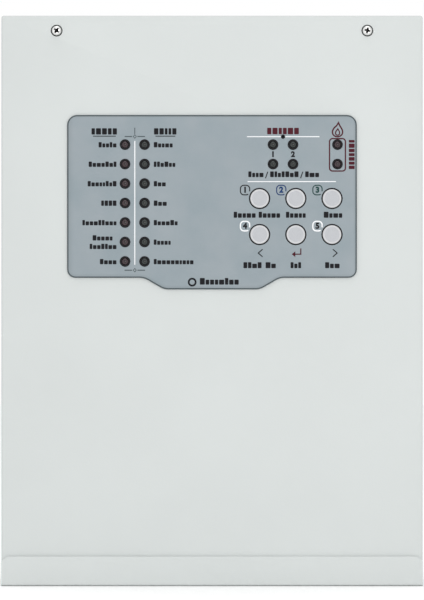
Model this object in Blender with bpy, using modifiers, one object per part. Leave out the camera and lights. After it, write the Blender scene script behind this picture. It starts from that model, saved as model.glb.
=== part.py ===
"""Two-zone fire alarm control panel: steel back box, drop-down front cover and everything inside.

The origin is the centre of the wall face. +X is the panel's right as seen from the front, +Y points
into the wall and +Z is up, so the front faces -Y. Sizes are written in millimetres times MM.
"""
import math

import bmesh
import bpy
from mathutils import Matrix, Vector

MM = 0.001
GAP = 0.3 * MM                 # clearance between pieces that touch or are fixed to each other
OVERCUT = 2.0 * MM             # how far a cutter runs past the faces that it cuts

# Driving dimensions
WIDTH = 255 * MM
HEIGHT = 345 * MM
DEPTH = 95 * MM
SHEET = 1.2 * MM
BEND = 1.5 * MM                # outer radius of a sheet-metal bend

# Planes that follow from them
HALF_W = WIDTH / 2
TOP = HEIGHT / 2
BOTTOM = -HEIGHT / 2
COVER_FRONT = -(DEPTH - SHEET - GAP)          # y of the cover's front face, just behind the lip
COVER_BACK = COVER_FRONT + SHEET
FLANGE = 22 * MM                              # depth of the cover's folded edges
SIDE_GAP = 0.5 * MM                           # between a cover flange and the box wall inside it
BOX_HALF_W = HALF_W - SHEET - SIDE_GAP
BOX_TOP = TOP - SHEET - SIDE_GAP

# Bottom lip in front of the cover's lower edge
LIP_HEIGHT = 17.8 * MM
LIP_CHAMFER = (3.6 * MM, 2.7 * MM)
LIP_TOP = BOTTOM + LIP_HEIGHT
COVER_BOTTOM = LIP_TOP - 3.5 * MM
RETURN_LIP = 15 * MM                          # folded down behind the cover's top edge

# Cover hinge, parallel to X
HINGE_Y = -87.5 * MM
HINGE_Z = BOTTOM + 25 * MM
PIN_R = 2.0 * MM
PIN_HOLE_R = PIN_R + 0.15 * MM

# Overlay
OVERLAY_HALF_W = 87.6 * MM
OVERLAY_TOP = 112.3 * MM
OVERLAY_BOTTOM = 13.8 * MM
OVERLAY_TAB_BOTTOM = 6.8 * MM
OVERLAY_SHOULDER_X = 43.8 * MM
OVERLAY_T = 0.8 * MM
OVERLAY_BACK = COVER_FRONT - GAP
OVERLAY_FRONT = OVERLAY_BACK - OVERLAY_T

# Indicators and buttons, as (x, z) on the front
ROW_PITCH = 11.78 * MM
FIRST_ROW_Z = 94.4 * MM
STATUS_ROWS = 7
STATUS_X = -52.6 * MM
FAULT_X = -40.8 * MM
ZONE_XS = (36.9 * MM, 49.0 * MM)
FIRE_X = 75.9 * MM
BUTTON_XS = (28.8 * MM, 50.7 * MM, 72.6 * MM)
BUTTON_ZS = (61.8 * MM, 40.0 * MM)

LED_R = 2.5 * MM
LED_RIM_R = 2.9 * MM
LED_HOLE_R = 3.3 * MM
LED_TIP = OVERLAY_FRONT - 1.0 * MM
CAP_R = 5.85 * MM
CAP_HOLE_R = 6.5 * MM
CAP_FLANGE_R = 7.4 * MM
PLUNGER_R = 1.75 * MM

# Cover screws
SCREW_X = 94 * MM
SCREW_Z = TOP - 9.1 * MM
SCREW_R = 2.0 * MM
SCREW_HOLE_R = 2.3 * MM
SCREW_HEAD_R = 3.55 * MM
SCREW_HEAD_H = 2.2 * MM
SCREW_TIP_Y = -85.5 * MM

# Boards
PCB_T = 1.6 * MM
DISPLAY_BOARD = (-70 * MM, 92 * MM, 15 * MM, 107 * MM)      # x low, x high, z low, z high
DISPLAY_FRONT = -86.6 * MM
STUD_INSET = 6 * MM
STUD_R = 2.5 * MM
STUD_THREAD_R = 1.4 * MM
MAIN_BOARD = (-116 * MM, 52 * MM, -52 * MM, 118 * MM)
MAIN_BACK = -11.5 * MM
MAIN_FRONT = MAIN_BACK - PCB_T

# Wall fixings and cable entries
KEYHOLE = {"x": 100 * MM, "z": 146 * MM, "head_r": 4.5 * MM, "slot_r": 2.5 * MM, "rise": 8 * MM}
LOWER_HOLE = {"x": 108 * MM, "z": -140 * MM, "r": 2.5 * MM}
REAR_SLOT = {"half_w": 30 * MM, "low": 127 * MM, "high": 153 * MM}
KNOCKOUT_XS = (-90 * MM, -30 * MM, 30 * MM, 90 * MM)
KNOCKOUT_R = 10.2 * MM
KNOCKOUT_Y = -40 * MM

# Batteries
BATTERY = Vector((90 * MM, 70 * MM, 101 * MM))
BATTERY_X = 46 * MM
BATTERY_BACK = -(SHEET + GAP)

FRONT_AXIS = (math.pi / 2, 0, 0)              # turns a piece's own +Z to face the front, -Y
SIDE_AXIS = (0, math.pi / 2, 0)               # turns it to +X

# Colour, roughness and metallic value of each kind of surface
LOOKS = {
    "powder_coat": ((0.62, 0.63, 0.62, 1), 0.45, 0.0),
    "overlay": ((0.34, 0.40, 0.43, 1), 0.40, 0.0),
    "button": ((0.58, 0.60, 0.62, 1), 0.50, 0.0),
    "led": ((0.10, 0.09, 0.085, 1), 0.25, 0.0),
    "zinc": ((0.72, 0.72, 0.70, 1), 0.35, 1.0),
    "steel_core": ((0.22, 0.22, 0.23, 1), 0.50, 0.8),
    "aluminium": ((0.60, 0.61, 0.62, 1), 0.40, 1.0),
    "board": ((0.02, 0.16, 0.07, 1), 0.45, 0.0),
    "black_plastic": ((0.02, 0.02, 0.022, 1), 0.45, 0.0),
    "grey_plastic": ((0.20, 0.21, 0.22, 1), 0.50, 0.0),
    "green_plastic": ((0.05, 0.30, 0.12, 1), 0.45, 0.0),
    "relay_blue": ((0.04, 0.12, 0.35, 1), 0.40, 0.0),
    "winding_tape": ((0.65, 0.45, 0.08, 1), 0.55, 0.0),
    "red_wire": ((0.50, 0.02, 0.02, 1), 0.40, 0.0),
    "black_wire": ((0.02, 0.02, 0.02, 1), 0.40, 0.0),
    "ribbon": ((0.45, 0.46, 0.47, 1), 0.50, 0.0),
}


# ---------------------------------------------------------------- scene and helpers

def clear_scene():
    for obj in list(bpy.data.objects):
        bpy.data.objects.remove(obj, do_unlink=True)


def new_collection(name):
    collection = bpy.data.collections.new(name)
    bpy.context.scene.collection.children.link(collection)
    return collection


clear_scene()
PARTS = new_collection("fire_alarm_control_panel")
CUTTERS = new_collection("cutters")


def material(name, look):
    colour, roughness, metallic = LOOKS[look]
    made = bpy.data.materials.new(name)
    made.use_nodes = True
    shader = made.node_tree.nodes["Principled BSDF"]
    shader.inputs["Base Color"].default_value = colour
    shader.inputs["Roughness"].default_value = roughness
    shader.inputs["Metallic"].default_value = metallic
    return made


def place(name, mesh, location, look=None, rotation=(0, 0, 0), is_round=False):
    """Put a mesh in the scene, as a part with its material or, with no look, as a tool shape."""
    obj = bpy.data.objects.new(name, mesh)
    obj.location = location
    obj.rotation_euler = rotation
    if is_round:
        mesh.shade_smooth()
        mesh.set_sharp_from_angle(angle=math.radians(35))
    if look is None:
        CUTTERS.objects.link(obj)
        obj.hide_render = True
        obj.display_type = 'WIRE'
    else:
        PARTS.objects.link(obj)
        mesh.materials.append(material(name, look))
    return obj


def mesh_from(name, bm):
    bmesh.ops.recalc_face_normals(bm, faces=bm.faces)
    mesh = bpy.data.meshes.new(name)
    bm.to_mesh(mesh)
    bm.free()
    return mesh


def box(name, low, high, look=None):
    """A box between two corners, with its origin at its centre."""
    low, high = Vector(low), Vector(high)
    bm = bmesh.new()
    bmesh.ops.create_cube(bm, size=1)
    bmesh.ops.scale(bm, vec=high - low, verts=bm.verts)
    return place(name, mesh_from(name, bm), (low + high) / 2, look)


def cylinders(name, centres, radius, length, segments=16, rotation=FRONT_AXIS, look=None):
    """One or more equal cylinders along one direction, with the origin at the first one's centre."""
    turn = Matrix.Rotation(rotation[0], 4, 'X') @ Matrix.Rotation(rotation[1], 4, 'Y')
    origin = Vector(centres[0])
    bm = bmesh.new()
    for centre in centres:
        step = turn.inverted() @ (Vector(centre) - origin)
        bmesh.ops.create_cone(bm, cap_ends=True, segments=segments, radius1=radius, radius2=radius,
                              depth=length, matrix=Matrix.Translation(step))
    return place(name, mesh_from(name, bm), origin, look, rotation, is_round=True)


def turned(name, profile, location, steps, look=None, rotation=FRONT_AXIS):
    """Turn a profile of (radius, height) points, from the top down, about its own Z."""
    mesh = bpy.data.meshes.new(name)
    points = [(round(r, 9), 0, h) for r, h in profile]
    mesh.from_pydata(points, [(i, i + 1) for i in range(len(points) - 1)], [])
    spindle = bpy.data.objects.new(name, mesh)
    PARTS.objects.link(spindle)
    screw = spindle.modifiers.new("turn", 'SCREW')
    screw.steps = screw.render_steps = steps
    screw.use_merge_vertices = True
    screw.merge_threshold = 0.00001
    solid = bpy.data.meshes.new_from_object(spindle.evaluated_get(updated_depsgraph()))
    bpy.data.objects.remove(spindle, do_unlink=True)
    return place(name, solid, location, look, rotation, is_round=True)


def updated_depsgraph():
    bpy.context.view_layer.update()
    return bpy.context.evaluated_depsgraph_get()


def plate(name, outline, thickness, location, look=None, rotation=(0, 0, 0)):
    """A flat outline in its own XY plane, thickened evenly about that plane."""
    curve = bpy.data.curves.new(name, 'CURVE')
    curve.dimensions = '2D'
    curve.fill_mode = 'BOTH'
    curve.extrude = thickness / 2
    spline = curve.splines.new('POLY')
    spline.points.add(len(outline) - 1)
    for point, (x, y) in zip(spline.points, outline):
        point.co = (x, y, 0, 1)
    spline.use_cyclic_u = True
    mesh = solid_from_curve(name, curve)
    make_caps_whole(mesh)
    return place(name, mesh, location, look, rotation)


def make_caps_whole(mesh):
    """Replace the triangles of a plate's two flat sides with one face each."""
    bm = bmesh.new()
    bm.from_mesh(mesh)
    flat = [face for face in bm.faces if abs(face.normal.z) > 0.5 or face.calc_area() < 1e-12]
    bmesh.ops.delete(bm, geom=flat, context='FACES')
    bmesh.ops.holes_fill(bm, edges=bm.edges, sides=0)
    bmesh.ops.recalc_face_normals(bm, faces=bm.faces)
    bm.to_mesh(mesh)
    bm.free()


def solid_from_curve(name, curve):
    """The curve's mesh with its caps welded on."""
    drawn = bpy.data.objects.new(name, curve)
    CUTTERS.objects.link(drawn)
    mesh = bpy.data.meshes.new_from_object(drawn.evaluated_get(updated_depsgraph()))
    bpy.data.objects.remove(drawn, do_unlink=True)
    bm = bmesh.new()
    bm.from_mesh(mesh)
    bmesh.ops.remove_doubles(bm, verts=bm.verts, dist=0.000001)
    bmesh.ops.recalc_face_normals(bm, faces=bm.faces)
    bm.to_mesh(mesh)
    bm.free()
    return mesh


def boolean(obj, tool, operation):
    modifier = obj.modifiers.new(f"{operation.lower()}_{tool.name}", 'BOOLEAN')
    modifier.operation = operation
    modifier.object = tool
    modifier.solver = 'EXACT'


def cut(obj, *tools):
    for tool in tools:
        boolean(obj, tool, 'DIFFERENCE')


def join(obj, *tools):
    for tool in tools:
        boolean(obj, tool, 'UNION')


def bevel(obj, width, segments=2):
    modifier = obj.modifiers.new("edges", 'BEVEL')
    modifier.width = width
    modifier.segments = segments
    modifier.limit_method = 'ANGLE'
    modifier.harden_normals = False


# ---------------------------------------------------------------- outlines

def arc(centre, radius, start, end, steps):
    """Points on an arc, angles in degrees."""
    turn = [math.radians(start + (end - start) * i / steps) for i in range(steps + 1)]
    return [(centre[0] + radius * math.cos(a), centre[1] + radius * math.sin(a)) for a in turn]


def fillet(before, corner, after, radius, steps):
    """Points and normals of the arc that rounds a corner, or the corner alone where it is straight."""
    back, ahead = (before - corner).normalized(), (after - corner).normalized()
    half = back.angle(ahead) / 2
    centre = corner + (back + ahead).normalized() * radius / math.sin(half)
    first = corner + back * radius / math.tan(half) - centre
    last = corner + ahead * radius / math.tan(half) - centre
    sweep = first.angle_signed(last)
    side = 1 if sweep > 0 else -1
    points = []
    for i in range(steps + 1):
        spoke = first.copy()
        spoke.rotate(Matrix.Rotation(-sweep * i / steps, 2))
        points.append((centre + spoke, spoke.normalized() * side))
    return points


def bent_strip(path, thickness, radius, steps=4):
    """The outline of a strip bent along a centre line, with its corners rounded at the given radius."""
    path = [Vector(point) for point in path]
    radii = radius if isinstance(radius, (list, tuple)) else [radius] * (len(path) - 2)
    line = [(path[0], left_of(path[0], path[1]))]
    for i, corner_radius in enumerate(radii, start=1):
        line += fillet(path[i - 1], path[i], path[i + 1], corner_radius, steps)
    line.append((path[-1], left_of(path[-2], path[-1])))
    near = [tuple(point + normal * thickness / 2) for point, normal in line]
    far = [tuple(point - normal * thickness / 2) for point, normal in line]
    return near + far[::-1]


def left_of(start, end):
    along = (end - start).normalized()
    return Vector((-along.y, along.x))


def overlay_outline():
    """Rounded rectangle whose middle hangs down as a tab between two S-shaped shoulders."""
    top_r, low_r, sweep_r, slope = 6 * MM, 5 * MM, 10 * MM, 30
    w, low, tab = OVERLAY_HALF_W, OVERLAY_BOTTOM, OVERLAY_TAB_BOTTOM
    arc_run = sweep_r * math.sin(math.radians(slope))
    arc_drop = sweep_r * (1 - math.cos(math.radians(slope)))
    ramp_run = (low - tab - 2 * arc_drop) / math.tan(math.radians(slope))
    foot_x = OVERLAY_SHOULDER_X - 2 * arc_run - ramp_run
    half = arc((w - top_r, OVERLAY_TOP - top_r), top_r, 90, 0, 6)
    half += arc((w - low_r, low + low_r), low_r, 0, -90, 6)
    half += arc((OVERLAY_SHOULDER_X, low - sweep_r), sweep_r, 90, 90 + slope, 4)
    half += arc((foot_x, tab + sweep_r), sweep_r, slope - 90, -90, 4)
    return half + [(-x, z) for x, z in reversed(half)]


# ---------------------------------------------------------------- front layout

def led_places():
    """Node name and (x, z) of each indicator."""
    rows = [FIRST_ROW_Z - i * ROW_PITCH for i in range(STATUS_ROWS)]
    places = {f"status_led_{i + 1}": (STATUS_X, z) for i, z in enumerate(rows)}
    places.update({f"fault_led_{i + 1}": (FAULT_X, z) for i, z in enumerate(rows)})
    for column, x in enumerate(ZONE_XS, start=1):
        places[f"zone_{column}_fire_led"] = (x, rows[0])
        places[f"zone_{column}_fault_led"] = (x, rows[1])
    places["fire_led_1"] = (FIRE_X, rows[0])
    places["fire_led_2"] = (FIRE_X, rows[1])
    return places


def button_places():
    return [(x, z) for z in BUTTON_ZS for x in BUTTON_XS]


def front_holes(name, centres, radius, front, back, segments):
    """Cutters through a layer of the front, which lies between the planes y = front and y = back."""
    middle = (front + back) / 2
    length = (back - front) + 2 * OVERCUT
    return cylinders(name, [(x, middle, z) for x, z in centres], radius, length, segments)


def screw_places():
    return [(-SCREW_X, SCREW_Z), (SCREW_X, SCREW_Z)]


# ---------------------------------------------------------------- back box

def side_wall(name, x):
    """A side wall in the YZ plane, notched behind the lip, where the cover's lower edge swings back."""
    middle = SHEET / 2
    front = COVER_BACK + 2 * GAP
    notch_back = HINGE_Y + 12.8 * MM
    notch_low = HINGE_Z - 12.9 * MM
    outline = [(-middle, BOTTOM + middle), (-middle, BOX_TOP - middle), (front, BOX_TOP - middle)]
    outline += arc((HINGE_Y, HINGE_Z), HINGE_Y - front, 180, 360, 10)
    outline += [(notch_back, HINGE_Z), (notch_back, notch_low), (middle - DEPTH, notch_low),
                (middle - DEPTH, BOTTOM + middle)]
    return plate(name, outline, SHEET, (x, 0, 0), rotation=(math.pi / 2, 0, math.pi / 2))


def keyhole(name, x, z):
    """A round hole with a narrower slot that rises from it."""
    head, slot, rise = KEYHOLE["head_r"], KEYHOLE["slot_r"], KEYHOLE["rise"]
    meet = math.degrees(math.acos(slot / head))
    outline = arc((0, 0), head, 180 - meet, 360 + meet, 18)
    outline += arc((0, rise), slot, 0, 180, 8)
    return plate(name, outline, 2 * SHEET + 2 * OVERCUT, (x, 0, z), rotation=FRONT_AXIS)


def knockout_ring(name, x):
    """A ring-shaped groove, cut half through the top wall."""
    groove = 0.6 * MM
    outer = KNOCKOUT_R
    profile = [(outer - groove, OVERCUT), (outer, OVERCUT), (outer, -groove), (outer - groove, -groove)]
    return turned(name, profile + profile[:1], (x, KNOCKOUT_Y, BOX_TOP), 16, rotation=(0, 0, 0))


def make_back_box():
    middle = SHEET / 2
    front = -DEPTH + middle
    bend = BEND - middle
    return_front = COVER_BACK + GAP + middle
    wrapper = bent_strip([(return_front, BOX_TOP - RETURN_LIP), (return_front, BOX_TOP - middle),
                          (-middle, BOX_TOP - middle), (-middle, BOTTOM + middle),
                          (front, BOTTOM + middle), (front, BOTTOM + 12 * MM)], SHEET, bend)
    upright = (math.pi / 2, 0, math.pi / 2)
    back_box = plate("back_box", wrapper, 2 * BOX_HALF_W, (0, 0, 0), "powder_coat", upright)
    wide_lip = bent_strip([(front + 23 * MM, BOTTOM + middle), (front, BOTTOM + middle), (front, LIP_TOP)],
                          SHEET, bend)
    lip = plate("lip", wide_lip, WIDTH, (0, 0, 0), rotation=upright)
    wall_x = BOX_HALF_W - middle
    join(back_box, side_wall("side_wall_left", -wall_x), side_wall("side_wall_right", wall_x), lip)
    cut(back_box, *lip_corners(), *box_holes())
    join(back_box, *board_posts())
    return back_box


def lip_corners():
    """Wedges that chamfer the lip's top corners."""
    run, drop = LIP_CHAMFER
    over = OVERCUT
    slope = drop / run
    wedges = []
    for side in (-1, 1):
        outline = [(side * (HALF_W - run - over), LIP_TOP + over * slope),
                   (side * (HALF_W + over), LIP_TOP + over * slope),
                   (side * (HALF_W + over), LIP_TOP - drop - over * slope)]
        wedges.append(plate(f"lip_corner_{side}", outline, SHEET + 2 * OVERCUT,
                            (0, SHEET / 2 - DEPTH, 0), rotation=FRONT_AXIS))
    return wedges


def box_holes():
    keyholes = [keyhole(f"keyhole_{side}", side * KEYHOLE["x"], KEYHOLE["z"]) for side in (-1, 1)]
    lower = cylinders("lower_holes", [(side * LOWER_HOLE["x"], -SHEET / 2, LOWER_HOLE["z"]) for side in (-1, 1)],
                      LOWER_HOLE["r"], SHEET + 2 * OVERCUT)
    slot = box("rear_slot", (-REAR_SLOT["half_w"], -SHEET - OVERCUT, REAR_SLOT["low"]),
               (REAR_SLOT["half_w"], OVERCUT, REAR_SLOT["high"]))
    knockouts = [knockout_ring(f"knockout_{i}", x) for i, x in enumerate(KNOCKOUT_XS, start=1)]
    hinge = cylinders("hinge_bore", [(0, HINGE_Y, HINGE_Z)], PIN_HOLE_R, 2 * BOX_HALF_W + OVERCUT,
                      rotation=SIDE_AXIS)
    return_lip = COVER_BACK + GAP
    screws = front_holes("return_lip_holes", screw_places(), SCREW_HOLE_R, return_lip, return_lip + SHEET, 16)
    return [*keyholes, lower, slot, *knockouts, hinge, screws]


def board_posts():
    """Pressed-in posts for the main board: a spacer up to the board and a stud through its hole."""
    seat = MAIN_BACK + GAP
    posts = []
    for i, (x, z) in enumerate(corners(MAIN_BOARD), start=1):
        profile = [(0, 4 * MM), (STUD_THREAD_R, 4 * MM), (STUD_THREAD_R, 0), (STUD_R, 0),
                   (STUD_R, seat + SHEET / 2), (0, seat + SHEET / 2)]
        posts.append(turned(f"board_post_{i}", profile, (x, seat, z), 12))
    return posts


def corners(rectangle):
    """The four stud places of a board, inset from its corners."""
    x_low, x_high, z_low, z_high = rectangle
    return [(x, z) for x in (x_low + STUD_INSET, x_high - STUD_INSET)
            for z in (z_low + STUD_INSET, z_high - STUD_INSET)]


def make_hinge_pins():
    """Shouldered pins that stand out through the box walls into the cover's side flanges."""
    wall_in = BOX_HALF_W - SHEET
    end = HALF_W - 0.2 * MM
    for label, side in (("left", -1), ("right", 1)):
        head, shoulder = wall_in - GAP - 1.2 * MM, wall_in - GAP
        profile = [(0, end), (PIN_R, end), (PIN_R, shoulder), (3.6 * MM, shoulder), (3.6 * MM, head), (0, head)]
        turned(f"hinge_pin_{label}", profile, (0, HINGE_Y, HINGE_Z), 16, "zinc",
               rotation=(0, side * math.pi / 2, 0))


def make_nuts():
    """Hexagon nuts behind the return lip, in line with the cover screws."""
    thickness = 3.2 * MM
    front = COVER_BACK + SHEET + 2 * GAP
    for label, (x, z) in zip(("left", "right"), screw_places()):
        nut = cylinders(f"cover_nut_{label}", [(x, front + thickness / 2, z)], 4.2 * MM, thickness, 6, look="zinc")
        cut(nut, front_holes(f"nut_bore_{label}", [(x, z)], SCREW_HOLE_R, front, front + thickness, 16))


# ---------------------------------------------------------------- inside the box

def board(name, rectangle, front, holes):
    x_low, x_high, z_low, z_high = rectangle
    made = box(name, (x_low, front, z_low), (x_high, front + PCB_T, z_high), "board")
    cut(made, front_holes(f"{name}_holes", holes, STUD_THREAD_R + GAP, front, front + PCB_T, 12))
    return made


def make_main_board():
    board("main_board", MAIN_BOARD, MAIN_FRONT, corners(MAIN_BOARD))


def make_terminal_strip():
    """Stepped block for the field wiring, along the main board's top edge."""
    back = MAIN_FRONT - GAP
    length, height, depth = 134 * MM, 12 * MM, 14 * MM
    section = [(back, 0), (back - depth + 4 * MM, 0), (back - depth, 4 * MM), (back - depth, height), (back, height)]
    plate("field_terminal_strip", section, length, (-32 * MM, 0, 103 * MM), "green_plastic",
          (math.pi / 2, 0, math.pi / 2))


def make_relays():
    back = MAIN_FRONT - GAP
    for name, z in (("fire_relay", 76 * MM), ("fault_relay", 52 * MM)):
        relay = box(name, (20 * MM, back - 15.5 * MM, z - 7.75 * MM), (39.5 * MM, back, z + 7.75 * MM), "relay_blue")
        bevel(relay, 0.6 * MM, 1)


def make_heat_sink():
    """Comb-shaped extrusion that stands on the main board."""
    back = MAIN_FRONT - GAP
    fins, pitch, fin_t, base_t, reach = 7, 4.2 * MM, 1.3 * MM, 2.5 * MM, 20 * MM
    outline = [((fins - 1) * pitch + fin_t, 0), (0, 0)]
    for i in range(fins):
        left = i * pitch
        outline += [(left, -reach), (left + fin_t, -reach)]
        if i < fins - 1:
            outline += [(left + fin_t, -base_t), (left + pitch, -base_t)]
    plate("heat_sink", outline, 30 * MM, (-104 * MM, back, 62 * MM), "aluminium")


def make_capacitor():
    radius, length = 8 * MM, 30 * MM
    can = cylinders("capacitor", [(-54 * MM, MAIN_FRONT - GAP - length / 2, 66 * MM)], radius, length, 20,
                    look="black_plastic")
    bevel(can, 0.8 * MM, 2)


def make_mains_input():
    """Screw terminal block and fuse holder, on the back wall's right side."""
    back = -(SHEET + GAP)
    terminal = box("mains_terminal_block", (72 * MM, back - 20 * MM, 86 * MM), (114 * MM, back, 108 * MM),
                   "grey_plastic")
    bevel(terminal, 0.8 * MM, 1)
    holder = box("fuse_holder", (74 * MM, back - 8 * MM, 56 * MM), (112 * MM, back, 68 * MM), "black_plastic")
    for side in (-1, 1):
        x = 93 * MM + side * 14 * MM
        join(holder, box(f"fuse_clip_{side}", (x - 3 * MM, back - 17 * MM, 57.5 * MM),
                         (x + 3 * MM, back - 4 * MM, 66.5 * MM)))
    join(holder, cylinders("fuse_body", [(93 * MM, back - 12 * MM, 62 * MM)], 3 * MM, 24 * MM, 12,
                           rotation=SIDE_AXIS))


def make_transformer():
    """Laminated core in a pressed channel frame, with the winding round its middle leg."""
    x, z = 88 * MM, -16 * MM
    half_w, half_h = 28 * MM, 23.5 * MM
    core_back, core_front = -9 * MM, -35 * MM
    core = box("transformer_core", (x - half_w, core_front, z - half_h), (x + half_w, core_back, z + half_h),
               "steel_core")
    foot_y = -(SHEET + GAP + SHEET / 2)
    bite = 0.2 * MM
    reach, face = half_w + SHEET / 2 - bite, core_front - SHEET / 2 + bite
    frame_path = [(-reach - 12 * MM, foot_y), (-reach, foot_y), (-reach, face),
                  (reach, face), (reach, foot_y), (reach + 7 * MM, foot_y)]
    frame_height = 8 * MM
    join(core, plate("transformer_frame", bent_strip(frame_path, SHEET, 1.2 * MM), frame_height,
                     (x, 0, z + half_h - 1 * MM - frame_height / 2)))
    for side in (-1, 1):
        window_x = x + side * 14 * MM
        cut(core, box(f"core_window_{side}", (window_x - 4.6 * MM, core_front - 6 * MM, z - 14 * MM),
                      (window_x + 4.6 * MM, core_back + 6 * MM, z + 14 * MM)))
    winding = box("transformer_winding", (x - 18.3 * MM, core_front - 5.5 * MM, z - 13.6 * MM),
                  (x + 18.3 * MM, core_back + 5.5 * MM, z + 13.6 * MM), "winding_tape")
    bevel(winding, 2.5 * MM, 2)
    leg = 9.4 * MM + GAP
    cut(winding, box("middle_leg_space", (x - leg, core_front - GAP, z - 20 * MM),
                     (x + leg, core_back + GAP, z + 20 * MM)))


def make_batteries():
    for label, side in (("left", -1), ("right", 1)):
        x, low = side * BATTERY_X, BOTTOM + SHEET + GAP
        battery = box(f"battery_{label}", (x - BATTERY.x / 2, BATTERY_BACK - BATTERY.y, low),
                      (x + BATTERY.x / 2, BATTERY_BACK, low + BATTERY.z), "grey_plastic")
        bevel(battery, 1.5 * MM, 2)
        for tab_side in (-1, 1):
            join(battery, box(f"battery_tab_{label}_{tab_side}", *battery_tab(x, tab_side)))


def battery_tab(x, side):
    """Corners of a flat terminal tab on a battery's top."""
    middle = Vector((x + side * 35 * MM, -58 * MM, BOTTOM + SHEET + GAP + BATTERY.z))
    return (middle - Vector((0.4 * MM, 3.15 * MM, 2 * MM)), middle + Vector((0.4 * MM, 3.15 * MM, 6 * MM)))


def make_battery_strap():
    """Bent strap over the batteries' fronts, with two feet on the back wall."""
    foot_y = -(SHEET + GAP + SHEET / 2)
    leg_x = BATTERY_X + BATTERY.x / 2 + GAP + SHEET / 2
    front_y = BATTERY_BACK - BATTERY.y - GAP - SHEET / 2
    path = [(-leg_x - 14 * MM, foot_y), (-leg_x, foot_y), (-leg_x, front_y),
            (leg_x, front_y), (leg_x, foot_y), (leg_x + 14 * MM, foot_y)]
    strap = plate("battery_strap", bent_strip(path, SHEET, 1.2 * MM), 22 * MM, (0, 0, -112 * MM), "zinc")
    holes = [(side * (leg_x + 8 * MM), -112 * MM) for side in (-1, 1)]
    cut(strap, front_holes("strap_holes", holes, 2.2 * MM, foot_y - SHEET, foot_y + SHEET, 12))


def smooth_route(points, samples):
    """Points of a Catmull-Rom curve through the given ones."""
    points = [Vector(p) for p in points]
    padded = [2 * points[0] - points[1], *points, 2 * points[-1] - points[-2]]
    route = []
    for a, b, c, d in zip(padded, padded[1:], padded[2:], padded[3:]):
        for i in range(samples):
            t = i / samples
            route.append(0.5 * (2 * b + (c - a) * t + (2 * a - 5 * b + 4 * c - d) * t ** 2
                                + (3 * b - a - 3 * c + d) * t ** 3))
    return route + [points[-1]]


def wire(name, points, diameter, look):
    curve = bpy.data.curves.new(name, 'CURVE')
    curve.dimensions = '3D'
    curve.bevel_depth = diameter / 2
    curve.bevel_resolution = 2
    curve.use_fill_caps = True
    route = smooth_route(points, 4)
    spline = curve.splines.new('POLY')
    spline.points.add(len(route) - 1)
    for point, place_ in zip(spline.points, route):
        point.co = (*place_, 1)
    place(name, solid_from_curve(name, curve), (0, 0, 0), look, is_round=True)


def make_battery_leads():
    """Leads from the outer battery tabs up to the main board's lower edge."""
    tab_y = -58 * MM
    tab_top = BOTTOM + SHEET + GAP + BATTERY.z + 6 * MM
    board_end = (MAIN_FRONT - 1.5 * MM, -46 * MM)
    for name, look, tab_x, board_x in (("battery_lead_red", "red_wire", -BATTERY_X - 35 * MM, -76 * MM),
                                       ("battery_lead_black", "black_wire", BATTERY_X + 35 * MM, 4 * MM)):
        across = board_x - tab_x
        wire(name, [(tab_x, tab_y, tab_top + 1.5 * MM), (tab_x, tab_y + 1 * MM, tab_top + 6 * MM),
                    (tab_x + 0.2 * across, tab_y + 14 * MM, tab_top + 9 * MM),
                    (tab_x + 0.7 * across, tab_y + 27 * MM, tab_top + 5 * MM),
                    (board_x, board_end[0] - 10 * MM, board_end[1] - 3 * MM),
                    (board_x, board_end[0] - 3 * MM, board_end[1]),
                    (board_x, board_end[0], board_end[1])], 2.4 * MM, look)


def make_ribbon_cable():
    """Flat cable from the main board, down past the hinge and up to the display board, with its plugs."""
    x, width, thickness = -50 * MM, 20 * MM, 1.0 * MM
    start_z, end_z = -40 * MM, 26 * MM
    fall_y, rise_y, plug_y = -77 * MM, -89.3 * MM, -79 * MM
    loop_z = HINGE_Z - 5 * MM
    path = [(MAIN_FRONT - 6 * MM, start_z), (fall_y, start_z), (fall_y, loop_z), (rise_y, loop_z),
            (rise_y, -6 * MM), (plug_y, 8 * MM), (plug_y, end_z - 2 * MM)]
    radii = [15 * MM, 5.8 * MM, 5.8 * MM, 8 * MM, 8 * MM]
    ribbon = plate("ribbon_cable", bent_strip(path, thickness, radii, 5), width, (x, 0, 0), "ribbon",
                   (math.pi / 2, 0, math.pi / 2))
    half = width / 2 + 1 * MM
    join(ribbon, box("board_plug", (x - half, MAIN_FRONT - 10 * MM, start_z - 3 * MM),
                     (x + half, MAIN_FRONT - GAP, start_z + 3 * MM)))
    return ribbon


# ---------------------------------------------------------------- front cover and what it carries

def make_front_cover():
    """Folded from one sheet: the front plate with flanges at its left, right and top edges."""
    bm = bmesh.new()
    bmesh.ops.create_cube(bm, size=1)
    bmesh.ops.scale(bm, vec=(WIDTH, FLANGE, TOP - COVER_BOTTOM), verts=bm.verts)
    open_sides = [f for f in bm.faces if f.normal.y > 0.5 or f.normal.z < -0.5]
    bmesh.ops.delete(bm, geom=open_sides, context='FACES_ONLY')
    middle = (0, COVER_FRONT + FLANGE / 2, (TOP + COVER_BOTTOM) / 2)
    cover = place("front_cover", mesh_from("front_cover", bm), middle, "powder_coat")
    bevel(cover, BEND, 3)
    skin = cover.modifiers.new("sheet", 'SOLIDIFY')
    skin.thickness = SHEET
    skin.offset = -1
    skin.use_even_offset = True
    led_centres = list(led_places().values())
    cut(cover, front_holes("cover_led_holes", led_centres, LED_HOLE_R, COVER_FRONT, COVER_BACK, 12),
        front_holes("cover_button_holes", button_places(), CAP_HOLE_R, COVER_FRONT, COVER_BACK, 20),
        front_holes("cover_screw_holes", screw_places(), SCREW_HOLE_R, COVER_FRONT, COVER_BACK, 16),
        cylinders("cover_hinge_bore", [(0, HINGE_Y, HINGE_Z)], PIN_HOLE_R, WIDTH + OVERCUT, 16, SIDE_AXIS))
    join(cover, *cover_studs())
    return cover


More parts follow.
